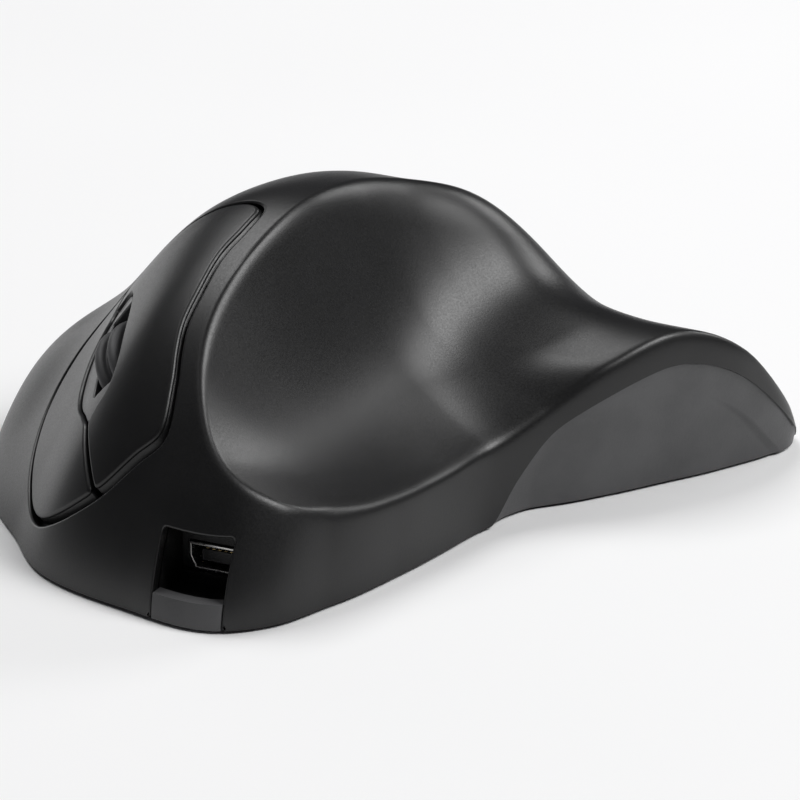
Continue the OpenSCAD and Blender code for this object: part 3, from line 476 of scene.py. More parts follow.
# Slot, two tones, range of roughness, scale and strength of the grain, then metal and clear coat if not zero
FINISHES = [
    ("shell_black", grey(0.0045), grey(0.0065), (0.32, 0.42), 2600, 0.25),
    ("key_black", grey(0.0045), grey(0.0065), (0.32, 0.42), 2600, 0.25),
    ("base_black", grey(0.062), grey(0.078), (0.42, 0.55), 2000, 0.4),
    ("bezel_black", grey(0.026), grey(0.034), (0.3, 0.4), 2400, 0.2),
    ("wheel_plastic", grey(0.02), grey(0.028), (0.3, 0.4), 2000, 0.2),
    ("tyre_rubber", grey(0.05), grey(0.065), (0.5, 0.65), 3000, 0.5),
    ("pocket_black", grey(0.004), grey(0.006), (0.5, 0.6), 2000, 0.4),
    ("socket_steel", (0.55, 0.54, 0.52), (0.66, 0.65, 0.63), (0.24, 0.36), 1500, 0.15, 1.0),
    ("socket_tongue", grey(0.03), grey(0.045), (0.4, 0.5), 2000, 0.3),
    ("contact_brass", (0.7, 0.5, 0.22), (0.8, 0.6, 0.3), (0.22, 0.34), 1500, 0.15, 1.0),
    ("pin_steel", (0.5, 0.5, 0.52), (0.62, 0.62, 0.64), (0.22, 0.34), 1500, 0.15, 1.0),
    ("chassis_plastic", grey(0.02), grey(0.03), (0.45, 0.55), 1800, 0.4),
    ("board_green", (0.008, 0.07, 0.025), (0.012, 0.1, 0.035), (0.3, 0.42), 900, 0.3, 0.0, 0.3),
    ("switch_black", grey(0.016), grey(0.024), (0.4, 0.5), 1800, 0.3),
    ("plunger_red", (0.45, 0.03, 0.02), (0.55, 0.05, 0.03), (0.35, 0.45), 1800, 0.2),
    ("encoder_blue", (0.015, 0.035, 0.11), (0.02, 0.05, 0.15), (0.35, 0.45), 1800, 0.3),
    ("chip_black", grey(0.012), grey(0.018), (0.45, 0.55), 2500, 0.4),
    ("battery_wrap", (0.03, 0.08, 0.22), (0.04, 0.1, 0.27), (0.25, 0.35), 900, 0.2),
    ("lead_sheath", (0.3, 0.015, 0.015), (0.38, 0.02, 0.02), (0.4, 0.5), 1500, 0.2),
    ("ribbon_white", (0.6, 0.6, 0.56), (0.68, 0.68, 0.64), (0.35, 0.45), 1500, 0.2),
    ("slider_grey", grey(0.16), grey(0.2), (0.4, 0.5), 1800, 0.3),
    ("glide_grey", grey(0.22), grey(0.27), (0.3, 0.42), 1800, 0.2),
    ("screw_steel", grey(0.18), grey(0.24), (0.28, 0.4), 1500, 0.2, 1.0),
]
MATERIALS = {row[0]: grained(*row) for row in FINISHES}
MATERIALS["lens_clear"] = clear("lens_clear")

# Upper shell: outer skin, inner skin, key panel opening, socket notch and lower rim

# Grid of a skin: runs of angle with their steps, rings outward, and how closely they follow a bend
ANGLE_RUNS = [(0, 78, 1.0), (78, 136, 0.45), (136, 232, 0.8), (232, 360, 1.25)]
ANGLE_ROOM = 0.25
OUTER_RINGS, INNER_RINGS, BEND_PULL = 112, 34, 5.0
SECTION_N, SECTION_CROWD, SHORT_STEP = 700, 1.6, 0.03
# Rounding of the thumb side's rim: its reach, the angles it covers, and the share of the radius it starts at
BEAD, BEAD_STEP = 1.1, 0.08
BEAD_FROM, BEAD_TO, BEAD_FADE = 104, 230, 8
BEAD_RHO, BEAD_RHO_FADE = 0.7, 0.1
# Edges of the openings and the rim, and the room round the openings where the grid is cut anew
HOLE_ROLL, NOTCH_ROLL, NOTCH_FOOT, LIP_W = 0.5, 0.35, 0.5, 0.4
CUT_DEG, CUT_RINGS, CLOSE_SHARE, CLOSE_MIN = 3, 3, 0.42, 0.05
PORT_X = POCKET_X * SCALE_X
DOWN = np.array([0, 0, -1.0])


def skin_angles(extra):
    a = np.concatenate([np.arange(*run) for run in ANGLE_RUNS])
    a = a[np.min(np.abs(a[:, None] - extra[None, :]), axis=1) > ANGLE_ROOM]
    return np.sort(np.concatenate([a, extra]))


def rolled_rim(p, angs, rho):
    """Rounds the rim of the thumb side: each section is averaged over a short run of its own length."""
    reach = np.arange(-3 * BEAD, 3 * BEAD + BEAD_STEP / 2, BEAD_STEP)
    kernel = np.exp(-0.5 * (reach / BEAD) ** 2)
    kernel /= kernel.sum()
    pad = len(reach) // 2
    share = np.clip((angs - BEAD_FROM) / BEAD_FADE, 0, 1) * np.clip((BEAD_TO - angs) / BEAD_FADE, 0, 1)
    out = p.copy()
    for i in np.flatnonzero(share > 0):
        s = np.concatenate([[0], np.cumsum(np.linalg.norm(np.diff(p[i], axis=0), axis=1))])
        even = np.linspace(0, s[-1], int(s[-1] / BEAD_STEP))
        q = np.stack([np.interp(even, s, p[i, :, k]) for k in range(3)], 1)
        q = np.concatenate([2 * q[0] - q[pad:0:-1], q, 2 * q[-1] - q[-2:-pad - 2:-1]])
        q = np.stack([np.convolve(q[:, k], kernel, "valid") for k in range(3)], 1)
        q = np.stack([np.interp(s, even, q[:, k]) for k in range(3)], 1)
        w = share[i] * np.clip((rho[i] - BEAD_RHO) / BEAD_RHO_FADE, 0, 1)[:, None]
        out[i] += w * (q - p[i])
    return out


def skin_grid(t, angs, nr, inner):
    """Rings of the skin as shares of the radius, and their points: closer where the section bends."""
    c, s = np.cos(np.radians(angs))[:, None], np.sin(np.radians(angs))[:, None]
    big = (outline_r(angs) - t)[:, None]
    q = np.linspace(0, 1, SECTION_N)[None, :]
    rho = np.repeat(1 - (1 - q) ** SECTION_CROWD, len(angs), 0)

    def at(r):
        x, y = r * big * c, r * big * s
        z = np.where((r > 0.999999999) & inner, part_z(angs)[:, None], sculpt(x, y, t))
        return np.stack([SCALE_X * x, SCALE_Y * y, SCALE_Z * z], -1)

    p = at(rho) if inner else rolled_rim(at(rho), angs, rho)
    d = np.diff(p, axis=1)
    ds = np.linalg.norm(d, axis=2)
    tan = unit(d)
    none = np.zeros((len(angs), 1))
    bend = np.arccos(np.clip(np.sum(tan[:, 1:] * tan[:, :-1], 2), -1, 1))
    bend = np.concatenate([none, bend], 1) * np.clip(ds / SHORT_STEP, 0, 1)
    w = np.cumsum(np.concatenate([none, ds + BEND_PULL * bend], 1), 1)
    w /= w[:, -1:]
    for _ in range(4):
        w = (np.roll(w, 1, 0) + 2 * w + np.roll(w, -1, 0)) / 4
    want = np.linspace(0, 1, nr + 1)[1:]
    rings = np.stack([np.interp(want, w[i], rho[i]) for i in range(len(angs))])
    rings[:, -1] = 1.0
    if inner:
        return rings, at(rings)
    placed = [[np.interp(rings[i], rho[i], p[i, :, k]) for k in range(3)] for i in range(len(angs))]
    return rings, np.moveaxis(np.stack(placed), 1, 2)


def grid_normals(p, pole):
    back = np.concatenate([np.broadcast_to(pole, (len(p), 1, 3)), p[:, :-1]], 1)
    ahead = np.concatenate([p[:, 1:], p[:, -1:]], 1)
    return unit(np.cross(ahead - back, np.roll(p, -1, 0) - np.roll(p, 1, 0)))


def to_index(x, y, t, angs, rings):
    """Place of a plan point in the grid, as fractional angle and ring."""
    a = turn(x, y)
    fi = np.interp(a, angs, np.arange(len(angs)))
    i = np.clip(fi.astype(int), 0, len(angs) - 2)
    f = (fi - i)[:, None]
    rows = (1 - f) * rings[i] + f * rings[i + 1]
    rho = np.hypot(x, y) / (outline_r(a) - t)
    fj = np.array([np.interp(r, row, np.arange(len(row))) for r, row in zip(rho, rows)])
    return np.stack([fi, fj], 1)


def bilinear(grid, ij):
    """Unit normals between the points of a grid."""
    i = np.clip(ij[:, 0].astype(int), 0, grid.shape[0] - 2)
    j = np.clip(ij[:, 1].astype(int), 0, grid.shape[1] - 2)
    a, b = (ij[:, 0] - i)[:, None], (ij[:, 1] - j)[:, None]
    return unit((1 - a) * (1 - b) * grid[i, j] + a * (1 - b) * grid[i + 1, j]
                + (1 - a) * b * grid[i, j + 1] + a * b * grid[i + 1, j + 1])


def notch_path(grow):
    """Front view of the notch, from its left foot over the top to its right foot, without the two feet."""
    w, top, r = POCKET_W / 2 + grow, POCKET_TOP + grow, POCKET_R + grow
    up = np.linspace(NOTCH_FOOT, top - r, 14)
    arc = np.radians(np.linspace(0, 90, 7))[1:]
    level = np.linspace(-w + r, w - r, 16)[1:]
    left = [(-w, z) for z in up] + [(-w + r - r * math.cos(b), top - r + r * math.sin(b)) for b in arc]
    right = [(w - r + r * math.sin(b), top - r + r * math.cos(b)) for b in arc] + [(w, z) for z in up[::-1]]
    return np.array(left + [(x, top) for x in level] + right) + (PORT_X, 0)


def rim_angle(px):
    """Angle at which the front of the outline has a given place across."""
    def below(a):
        return SCALE_X * outline_r(a) * np.cos(np.radians(a)) > px

    return float(halve(60.0, 130.0, below, 50))


def front_y(px, pz, t):
    """Place ahead where the front wall has a given height."""
    def below(y):
        within = np.hypot(px / SCALE_X, y / SCALE_Y) < outline_r(turn(px / SCALE_X, y / SCALE_Y)) - t
        return within & (face_z(px, y, t) > pz)

    return halve(np.full(px.shape, 45.0), np.full(px.shape, 80.0), below, 50)


class Skin:
    """One side of the shell: a grid by angle and ring, cut anew round the key panel and the socket notch."""

    def __init__(self, build, t, angs, nr, up):
        self.build, self.t, self.angs, self.nr, self.up = build, t, angs, nr, up
        self.rings, self.p = skin_grid(t, angs, nr, not up)
        pole = np.array([0, 0, float(face_z(0.0, 0.0, t))])
        self.facing = grid_normals(self.p, pole) * (1.0 if up else -1.0)
        self.ids = build.points(self.p + SHIFT).reshape(len(angs), nr)
        self.top = build.points(pole + SHIFT)[0]
        self.normals = {}
        note(self.normals, self.ids, self.facing)
        note(self.normals, self.top, unit(self.facing[:, 0].mean(0)))

    def line(self, points):
        """Adds the points of an opening's edge. Returns their vertex numbers and their places in the grid."""
        ids = self.build.points(points + SHIFT)
        place = to_index(points[:, 0] / SCALE_X, points[:, 1] / SCALE_Y, self.t, self.angs, self.rings)
        note(self.normals, ids, bilinear(self.facing, place))
        return ids, place

    def cut(self, panel, notch, notch_at):
        """Triangles round both openings, then the cells elsewhere. Returns the vertex numbers of the two
        edges, and the places of the notch's feet on the rim."""
        pan, ij_pan = self.line(panel)
        edge, ij_notch = self.line(notch)
        angs, last = self.angs, self.nr - 1
        i0 = int(np.searchsorted(angs, angs[int(ij_pan[:, 0].min())] - CUT_DEG))
        i1 = int(np.searchsorted(angs, max(angs[int(ij_pan[:, 0].max())], max(notch_at)) + CUT_DEG))
        j0 = max(1, int(ij_pan[:, 1].min()) - CUT_RINGS)
        gi, gj = np.meshgrid(np.arange(i0, i1 + 1), np.arange(j0, last + 1), indexing="ij")
        gi, gj = gi.ravel(), gj.ravel()
        flat, p = np.stack([gi, gj], 1).astype(float), self.p[gi, gj]
        il, ir = (int(np.argmin(np.abs(angs - a))) for a in notch_at)
        notch_poly = np.vstack([[[il, last]], ij_notch, [[ir, last], [ir, last + 3], [il, last + 3]]])
        cell = np.minimum(np.linalg.norm(p - self.p[gi, gj - 1], axis=1),
                          np.linalg.norm(p - self.p[gi - 1, gj], axis=1))
        close = nearest(p, np.vstack([panel, notch])) < CLOSE_SHARE * cell + CLOSE_MIN
        on_rim = gj == last
        border = (gi == i0) | (gi == i1) | (gj == j0) | on_rim
        drop = inside(flat, ij_pan) | inside(flat, notch_poly) | close
        keep = border & ~(on_rim & inside(flat + (0, -0.01), notch_poly)) | ~drop
        keep |= on_rim & ((gi == il) | (gi == ir))
        pts = np.vstack([flat[keep], ij_pan, ij_notch])
        ids = np.concatenate([self.ids[gi[keep], gj[keep]], pan, edge])
        kept = {(int(a), int(b)): k for k, (a, b) in enumerate(flat[keep])}
        base, n, m = int(keep.sum()), len(panel), len(notch)
        path = [kept[(il, last)]] + [base + n + k for k in range(m)] + [kept[(ir, last)]]
        lines = [(base + k, base + (k + 1) % n) for k in range(n)] + list(zip(path[:-1], path[1:]))
        tri = triangulate(pts, lines)
        mid = pts[tri].mean(1)
        tri = tri[~(inside(mid, ij_pan) | inside(mid, notch_poly))]
        e, f = pts[tri[:, 1]] - pts[tri[:, 0]], pts[tri[:, 2]] - pts[tri[:, 0]]
        tri = tri[np.abs(e[:, 0] * f[:, 1] - e[:, 1] * f[:, 0]) > 1e-6]
        look = np.array([self.normals[int(i)] for i in ids])
        self.build.faces(ids[tri], self.normals, look[tri].sum(1))
        self.cells(i0, i1, j0)
        return pan, edge, (il, ir)

    def cells(self, i0, i1, j0):
        """Regular cells outside the region that was cut, and the fan round the pole."""
        na = len(self.angs)
        ci, cj = np.meshgrid(np.arange(na), np.arange(self.nr - 1), indexing="ij")
        rest = ~((ci >= i0) & (ci < i1) & (cj >= j0))
        ci, cj = ci[rest], cj[rest]
        ck = (ci + 1) % na
        quads = np.stack([self.ids[ci, cj], self.ids[ci, cj + 1], self.ids[ck, cj + 1], self.ids[ck, cj]], 1)
        k = np.arange(na)
        fan = np.stack([np.full(na, self.top), self.ids[k, 0], self.ids[(k + 1) % na, 0]], 1)
        for f in (quads, fan):
            self.build.faces(f if self.up else f[:, ::-1], self.normals)


def shell_piece():
    b = Build()
    hole = anticlockwise(loop_pts(np.array(PANEL) * (SCALE_X, SCALE_Y), 16))
    hole = soften(hole, step=0.7, sigma=0.7)
    out = outward(hole)
    half = POCKET_W / 2 + NOTCH_ROLL
    notch_at = (rim_angle(PORT_X - half), rim_angle(PORT_X + half))
    angs = skin_angles(np.array(notch_at))

    def hole_pt(d, t=0.0):
        u, v = (hole + out * d).T
        return finger_pt(u, v, finger_w(u, v, t))

    def notch_pt(d, t=0.0):
        q = notch_path(d)
        return np.stack([q[:, 0], front_y(q[:, 0], q[:, 1], t), q[:, 1]], 1)

    outer = Skin(b, 0.0, angs, OUTER_RINGS, True)
    pan, edge, feet = outer.cut(hole_pt(HOLE_ROLL), notch_pt(NOTCH_ROLL), notch_at)
    inner = Skin(b, WALL_T, angs, INNER_RINGS, False)
    pan_in, edge_in, _ = inner.cut(hole_pt(0.0, WALL_T), notch_pt(0.0, WALL_T), notch_at)
    rim, rim_in, normals = outer.ids[:, -1], inner.ids[:, -1], outer.normals
    # Rolled edge of the panel opening, then its wall
    up = np.array([normals[int(i)] for i in pan])
    into = -across(out[:, :1] * AXIS_U + out[:, 1:] * AXIS_V, up)
    rows = b.rolled(pan, hole_pt, up, into, HOLE_ROLL, (22, 45, 68, 90), normals)
    b.strip(rows[-1], pan_in, True, None, into)
    # Rolled edge of the notch, then its wall and the cheeks at its feet
    up = np.array([normals[int(i)] for i in edge])
    side = np.gradient(notch_path(0.0), axis=0)
    into = across(np.stack([side[:, 1], np.zeros(len(side)), -side[:, 0]], 1), up)
    rows = b.rolled(edge, notch_pt, up, into, NOTCH_ROLL, (30, 60, 90), normals, closed=False)
    b.strip(rows[-1], edge_in, False, None, into[:-1])
    rows = [edge] + rows + [edge_in]
    for foot, end, inward in zip(feet, (0, -1), (1.0, -1.0)):
        line = [row[end] for row in rows] + [rim_in[foot]]
        fan = [[rim[foot], i, j] for i, j in zip(line[:-1], line[1:])]
        b.faces(fan, None, np.array([inward, 0, -0.3]))
    # Lower rim, open at the notch
    keep = np.arange(feet[0], feet[1] + len(angs) + 1) % len(angs)
    edge_pts = b.all_points()[rim]
    flat = unit((edge_pts - SHIFT) * (1, 1, 0))
    lip_low = edge_pts - LIP_W * flat
    lip_top = lip_low.copy()
    lip_top[:, 2] = SCALE_Z * part_z(angs) + SHIFT[2]
    low, top = b.points(lip_low), b.points(lip_top)
    b.strip(rim[keep], low[keep], False, None, DOWN)
    b.strip(low[keep], top[keep], False, None, -flat[keep][:-1])
    b.strip(top[keep], rim_in[keep], False, None, DOWN)
    return b.piece("upper_shell_skin", "body", "shell_black", MATERIALS["shell_black"], "upper_shell")


# Wall under the thumb wing: a smooth cover over the lower shell's wall, with the fold at its rear
SKIRT_IN, SKIRT_T, SEAM, COVER, WALL_MIN = 0.8, 2.0, 0.25, 0.1, 0.4
TUCK, TUCK_FULL, TUCK_BEND = 6.0, 24, 0.7
WALL_RUNS, WALL_END = [(167.6, 200, 0.6), (200, 221.2, 0.22)], 221.25
WALL_ROWS, WALL_CROWD = 60, 1.25
# Angle of the fold by height, how far it stands out, its width, its top, and how it fades upward and backward
FOLD = [(0, 217.1), (4, 215.5), (7.3, 214.2), (10, 213.1), (12.6, 211.7), (17, 209)]
FOLD_OUT, FOLD_W, FOLD_TOP, FOLD_FADE, FOLD_RUN = 1.0, 0.5, 17, 8, 8


def wall_grid(a, s, t, fold):
    """Points of the wall by angle and by share of the way down, t inside its outer face."""
    big, pz = outline_r(a), part_z(a)
    z = (np.maximum(WALL_MIN, SCALE_Z * pz * (1 - (SKIRT_IN + t) / big) - SEAM) + COVER) * (1 - s)
    d = np.radians(a - curve(FOLD, z)) * big
    step = ease(d / FOLD_W + 0.5)
    proud = fold * np.clip((FOLD_TOP - z) / FOLD_FADE, 0, 1) * step * np.exp(-np.maximum(d, 0) / FOLD_RUN)
    r = big - SKIRT_IN - TUCK * np.minimum(1, pz / TUCK_FULL) * s**TUCK_BEND - t + proud
    return np.stack([SCALE_X * r * np.cos(np.radians(a)), SCALE_Y * r * np.sin(np.radians(a)), z], -1)


def lower_wall_piece():
    b = Build()
    a = np.concatenate([np.arange(*run) for run in WALL_RUNS] + [[WALL_END]])[:, None]
    s = (np.linspace(0, 1, WALL_ROWS) ** WALL_CROWD)[None, :]
    p, q = wall_grid(a, s, -COVER, FOLD_OUT), wall_grid(a, s, SKIRT_T + COVER, 0.0)
    na, ns = p.shape[:2]
    o, i = b.points(p + SHIFT).reshape(na, ns), b.points(q + SHIFT).reshape(na, ns)
    n = unit(np.cross(np.gradient(p, axis=0), np.gradient(p, axis=1)))
    n *= np.sign(np.sum(n * p * (1, 1, 0), 2))[..., None]
    normals = {}
    k, m = (g.ravel() for g in np.meshgrid(np.arange(na - 1), np.arange(ns - 1), indexing="ij"))
    for g, sign in ((o, 1), (i, -1)):
        note(normals, g, sign * n)
        b.faces(np.stack([g[k, m], g[k + 1, m], g[k + 1, m + 1], g[k, m + 1]], 1), normals, sign * n[k, m])
    b.strip(o[:, 0], i[:, 0], False, None, -DOWN)
    b.strip(o[:, -1], i[:, -1], False, None, DOWN)
    b.strip(o[0], i[0], False, None, p[0, 0] - p[1, 0])
    b.strip(o[-1], i[-1], False, None, p[-1, 0] - p[-2, 0])
    return b.piece("lower_wall_cover", "body", "base_black", MATERIALS["base_black"])


# Plates that follow the finger surface: the two keys and the surround of the wheel
def plate(name, outline, drop, roll, step, body, slot, node):
    b = Build()
    outline = anticlockwise(outline)
    out = outward(outline)

    def lift(uv, down=0.0):
        u, v = uv.T
        return finger_pt(u, v, finger_w(u, v) - drop - down)

    def edge_pt(d):
        return lift(outline - out * d)

    inner = outline - out * roll
    lo, hi = inner.min(0), inner.max(0)
    gx, gy = np.meshgrid(np.arange(lo[0], hi[0], step), np.arange(lo[1], hi[1], step))
    grid = np.stack([gx.ravel(), gy.ravel()], 1)
    grid = grid[inside(grid, inner)]
    grid = grid[nearest(grid, inner) > 0.5 * step]
    flat = np.vstack([inner, grid])
    n = len(inner)
    tri = triangulate(flat, [(k, (k + 1) % n) for k in range(n)])
    tri = tri[inside(flat[tri].mean(1), inner)]
    nrm = finger_normal(*flat.T)
    normals = {}
    ids = b.points(lift(flat) + SHIFT)
    note(normals, ids, nrm)
    b.faces(ids[tri], normals, nrm[tri].sum(1))
    # Rolled edge, side and underside
    up = nrm[:n]
    side = across(out[:, :1] * AXIS_U + out[:, 1:] * AXIS_V, up)
    rows = b.rolled(ids[:n], edge_pt, up, side, roll, (18, 36, 54, 72, 90), normals)
    foot = b.points(lift(outline, KEY_T) + SHIFT)
    b.strip(rows[-1], foot, True, None, side)
    under = b.points(lift(flat, KEY_T) + SHIFT)
    note(normals, under, -nrm)
    b.faces(under[tri], normals, -nrm[tri].sum(1))
    b.strip(foot, under[:n], True, None, -up)
    return b.piece(name, body, slot, MATERIALS[slot], node)


def chain(loop, ok):
    """The points of a closed loop that are marked ok, in order, as one run."""
    start = int(np.argmax(ok & ~np.roll(ok, 1)))
    loop, ok = np.roll(loop, -start, 0), np.roll(ok, -start)
    return loop[:int(np.argmin(ok)) if not ok.all() else len(ok)]


def key_outlines():
    """Outlines of the left and right key: the panel less its gap, split beside the slot of the wheel."""
    panel = anticlockwise(loop_pts(np.array(PANEL) * (SCALE_X, SCALE_Y), 24))
    n = outward(panel)
    panel = panel - n * (KEY_GAP + NOSE_GAP * np.maximum(0, n[:, 1:]))
    slot = anticlockwise(loop_pts(SLOT, 16))
    found = []
    for sign in (-1, 1):
        cut = SPLIT_U + sign * SPLIT_GAP / 2
        a, s = (chain(loop, sign * (loop[:, 0] - cut) > 0) for loop in (panel, slot))
        a, s = (np.vstack([[[cut, q[0, 1]]], q, [[cut, q[-1, 1]]]]) for q in (a, s))
        found.append(soften(np.vstack([a, s[::-1]]), step=0.5, sigma=0.75))
    return found


# Opening of the surround: depth at which it clears the wheel, and the room along and beside the wheel
CLEAR_DEPTH, CLEAR_V, CLEAR_U = 4.5, 0.5, 0.7


def bezel_outline():
    """Outline of the surround: the slot less its gap, open where the wheel comes through."""
    slot = anticlockwise(loop_pts(SLOT, 16))
    slot = slot - outward(slot) * BEZEL_GAP
    room = math.sqrt((WHEEL_D / 2) ** 2 - (AXLE_W + CLEAR_DEPTH) ** 2) + CLEAR_V
    edge_u, v0, v1 = WHEEL_U + WHEEL_W / 2 + CLEAR_U, WHEEL_V - room, WHEEL_V + room
    c = chain(slot, (slot[:, 0] > edge_u) | (slot[:, 1] < v0) | (slot[:, 1] > v1))
    return soften(np.vstack([c, [[edge_u, v1], [edge_u, v0]]]), step=0.35, sigma=0.4)


# Scroll wheel tyre: two raised rings with a groove between them
RING_U, RING_R, SHOULDER = 1.75, 1.2, 1.5
GROOVE = [(-0.45, 1.35), (0.0, 1.45), (0.45, 1.35)]
TYRE_N = 144


def tyre_piece():
    b = Build()
    r, h = WHEEL_D / 2, WHEEL_W / 2
    arc = np.radians(np.linspace(180, 0, 13))
    rings = [[(c + RING_R * math.cos(t), r - RING_R + RING_R * math.sin(t)) for t in arc]
             for c in (-RING_U, RING_U)]
    prof = [(-h, r - TYRE_T), (-h, r - SHOULDER)] + rings[0] + [(u, r - d) for u, d in GROOVE]
    prof = np.array(prof + rings[1] + [(h, r - SHOULDER), (h, r - TYRE_T)])
    phi = np.linspace(0, 2 * math.pi, TYRE_N, endpoint=False)
    d = np.stack([np.sin(phi), np.cos(phi)], 1)
    radial = d[:, :1] * AXIS_V + d[:, 1:] * AXIS_W
    tan = np.gradient(prof, axis=0)
    lean = unit(np.stack([-tan[:, 1], tan[:, 0]], 1))
    face = [m[0] * AXIS_U + m[1] * radial for m in lean]
    rows, normals = [], {}
    for (u, q), n in zip(prof, face):
        p = finger_pt(np.full(TYRE_N, WHEEL_U + u), WHEEL_V + q * d[:, 0], AXLE_W + q * d[:, 1])
        rows.append(b.points(p + SHIFT))
        note(normals, rows[-1], unit(n))
    for k in range(len(rows) - 1):
        b.strip(rows[k], rows[k + 1], True, normals, face[k] + face[k + 1])
    b.strip(rows[0], rows[-1], True, None, -radial)
    return b.piece("wheel_tyre_skin", "wheel", "tyre_rubber", MATERIALS["tyre_rubber"], "wheel_tyre")


shell_piece()
lower_wall_piece()
for side_name, key_outline in zip(("left", "right"), key_outlines()):
    plate(side_name + "_key_skin", key_outline, drop=0.0, roll=0.7, step=1.0, body=side_name + "_key",
          slot="key_black", node=side_name + "_button")
plate("wheel_bezel_skin", bezel_outline(), drop=BEZEL_DROP, roll=0.35, step=0.6, body="body",
      slot="bezel_black", node="wheel_bezel")
tyre_piece()

# Carried-over nodes: joined facets, smooth faces with crisp edges, small edge breaks, procedural materials
CRISP, BREAK = math.radians(32), math.radians(40)
REMADE = ("upper_shell", "left_button", "right_button", "wheel_bezel", "wheel_tyre")
BEVELS = {"usb_shell": 0.12, "usb_tongue": 0.15, "glide_feet": 0.2, "body_screws": 0.15, "power_slider": 0.2,
          "power_switch": 0.15, "left_switch": 0.25, "right_switch": 0.25, "wheel_switch": 0.2,
          "encoder": 0.25, "battery": 0.8, "board_chips": 0.15, "sensor_chip": 0.2, "wheel_hub": 0.25,
          "main_board": 0.1, "switch_board": 0.1, "left_plunger": 0.25, "right_plunger": 0.25,
          "wheel_plunger": 0.2, "hinge_pin": 0.2, "cradle_pin": 0.2}


def smoothing():
    g = bpy.data.node_groups.new("smooth_faces", "GeometryNodeTree")
    g.interface.new_socket("Geometry", in_out="INPUT", socket_type="NodeSocketGeometry")
    g.interface.new_socket("Geometry", in_out="OUTPUT", socket_type="NodeSocketGeometry")
    gin, gout = g.nodes.new("NodeGroupInput"), g.nodes.new("NodeGroupOutput")
    drop = g.nodes.new("GeometryNodeRemoveAttribute")
    drop.inputs["Name"].default_value = "custom_normal"
    faces = g.nodes.new("GeometryNodeSetShadeSmooth")
    faces.domain = "FACE"
    edges = g.nodes.new("GeometryNodeSetShadeSmooth")
    edges.domain = "EDGE"
    edges.inputs["Shade Smooth"].default_value = False
    angle = g.nodes.new("GeometryNodeInputMeshEdgeAngle")
    test = g.nodes.new("FunctionNodeCompare")
    test.operation = "GREATER_THAN"
    test.inputs["B"].default_value = CRISP
    g.links.new(gin.outputs[0], drop.inputs["Geometry"])
    g.links.new(drop.outputs["Geometry"], faces.inputs["Geometry"])
    g.links.new(faces.outputs["Geometry"], edges.inputs["Geometry"])
    g.links.new(angle.outputs["Unsigned Angle"], test.inputs["A"])
    g.links.new(test.outputs["Result"], edges.inputs["Selection"])
    g.links.new(edges.outputs["Geometry"], gout.inputs[0])
    return g


smooth_faces = smoothing()
slot_of = {s["node"]: s["material_slot"] for s in frame["record"]["subparts"]}
for name, ob in nodes.items():
    if name in REMADE:
        continue
    ob.data.materials.clear()
    ob.data.materials.append(MATERIALS[slot_of[name]])
    weld = ob.modifiers.new("weld", "WELD")
    weld.merge_threshold = 1e-6
    if name in BEVELS:
        bev = ob.modifiers.new("edge", "BEVEL")
        bev.width = BEVELS[name] * MM
        bev.segments = 2
        bev.limit_method = "ANGLE"
        bev.angle_limit = BREAK
    mod = ob.modifiers.new("smooth", "NODES")
    mod.node_group = smooth_faces

# Floor and light
FLOOR = 4
floor_mesh = bpy.data.meshes.new("floor")
corners = [(-FLOOR, -FLOOR, 0), (FLOOR, -FLOOR, 0), (FLOOR, FLOOR, 0), (-FLOOR, FLOOR, 0)]
floor_mesh.from_pydata(corners, [], [(0, 1, 2, 3)])
floor = bpy.data.objects.new("floor", floor_mesh)
bpy.context.scene.collection.objects.link(floor)
white, tree, sh = new_material("floor_white")
cloud = noise(tree, tree.nodes.new("ShaderNodeTexCoord"), 3.0)
tone = ramp(tree, cloud, (0.93, 0.93, 0.93), (0.95, 0.95, 0.95))
tree.links.new(tone.outputs["Color"], sh.inputs["Base Color"])
sh.inputs["Roughness"].default_value = 0.9
sh.inputs["Specular IOR Level"].default_value = 0.1
floor_mesh.materials.append(white)

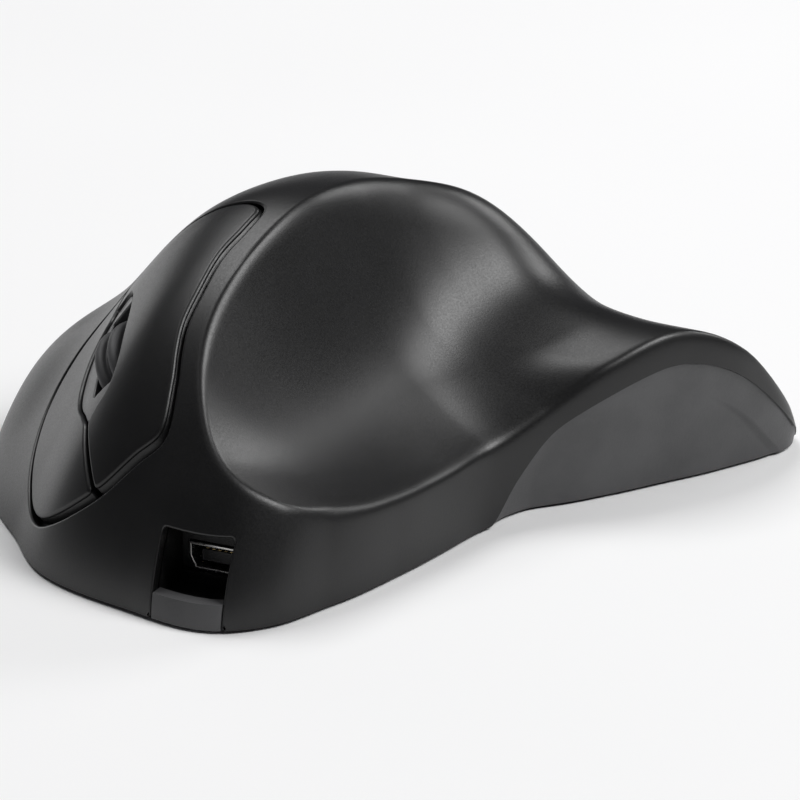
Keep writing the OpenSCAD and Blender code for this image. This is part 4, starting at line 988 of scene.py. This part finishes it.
world = bpy.data.worlds.new("studio")
bpy.context.scene.world = world
world.use_nodes = True
world.node_tree.nodes["Background"].inputs["Color"].default_value = (0.06, 0.06, 0.065, 1)
world.node_tree.nodes["Background"].inputs["Strength"].default_value = 1.0


def lamp(name, at, size, watts):
    """Rectangular lamp that points at the origin."""
    light = bpy.data.lights.new(name, "AREA")
    light.shape = "RECTANGLE"
    light.size, light.size_y = size
    light.energy = watts
    ob = bpy.data.objects.new(name, light)
    ob.location = at
    ob.rotation_euler = (-Vector(at)).to_track_quat("-Z", "Y").to_euler()
    bpy.context.scene.collection.objects.link(ob)


lamp("key", (-1.8, -0.25, 2.1), (1.3, 1.3), 54)
lamp("rear", (-1.0, -2.2, 1.3), (1.1, 0.7), 14)
lamp("top", (1.15, -0.6, 2.45), (1.4, 1.4), 32)
lamp("side", (2.5, -1.33, 0.45), (1.3, 1.0), 6)

# Camera at the photograph's angle: focal length, picture width and shift in pixels, distance, height of aim
AZIMUTH, ELEVATION = math.radians(206.4), math.radians(20.0)
FOCAL, PICTURE, SHIFT_RIGHT, SHIFT_DOWN = 3675, 800, 49.5, 14
SENSOR, AWAY, AIM_Z = 36.0, 0.7, 20.0
back = Vector((math.sin(AZIMUTH) * math.cos(ELEVATION), -math.cos(AZIMUTH) * math.cos(ELEVATION),
               math.sin(ELEVATION)))
right = Vector((math.cos(AZIMUTH), math.sin(AZIMUTH), 0))
above = back.cross(right)
target = Vector((SHIFT[0], SHIFT[1], AIM_Z + SHIFT[2])) * MM
cam_data = bpy.data.cameras.new("camera")
cam_data.sensor_width = SENSOR
cam_data.lens = FOCAL / PICTURE * SENSOR
cam_data.clip_end = 20
cam = bpy.data.objects.new("camera", cam_data)
cam.location = target + back * AWAY
look = -back + right * (SHIFT_RIGHT / FOCAL) - above * (SHIFT_DOWN / FOCAL)
cam.rotation_euler = look.to_track_quat("-Z", "Y").to_euler()
bpy.context.scene.collection.objects.link(cam)
bpy.context.scene.camera = cam
bpy.context.scene.view_settings.view_transform = "Standard"
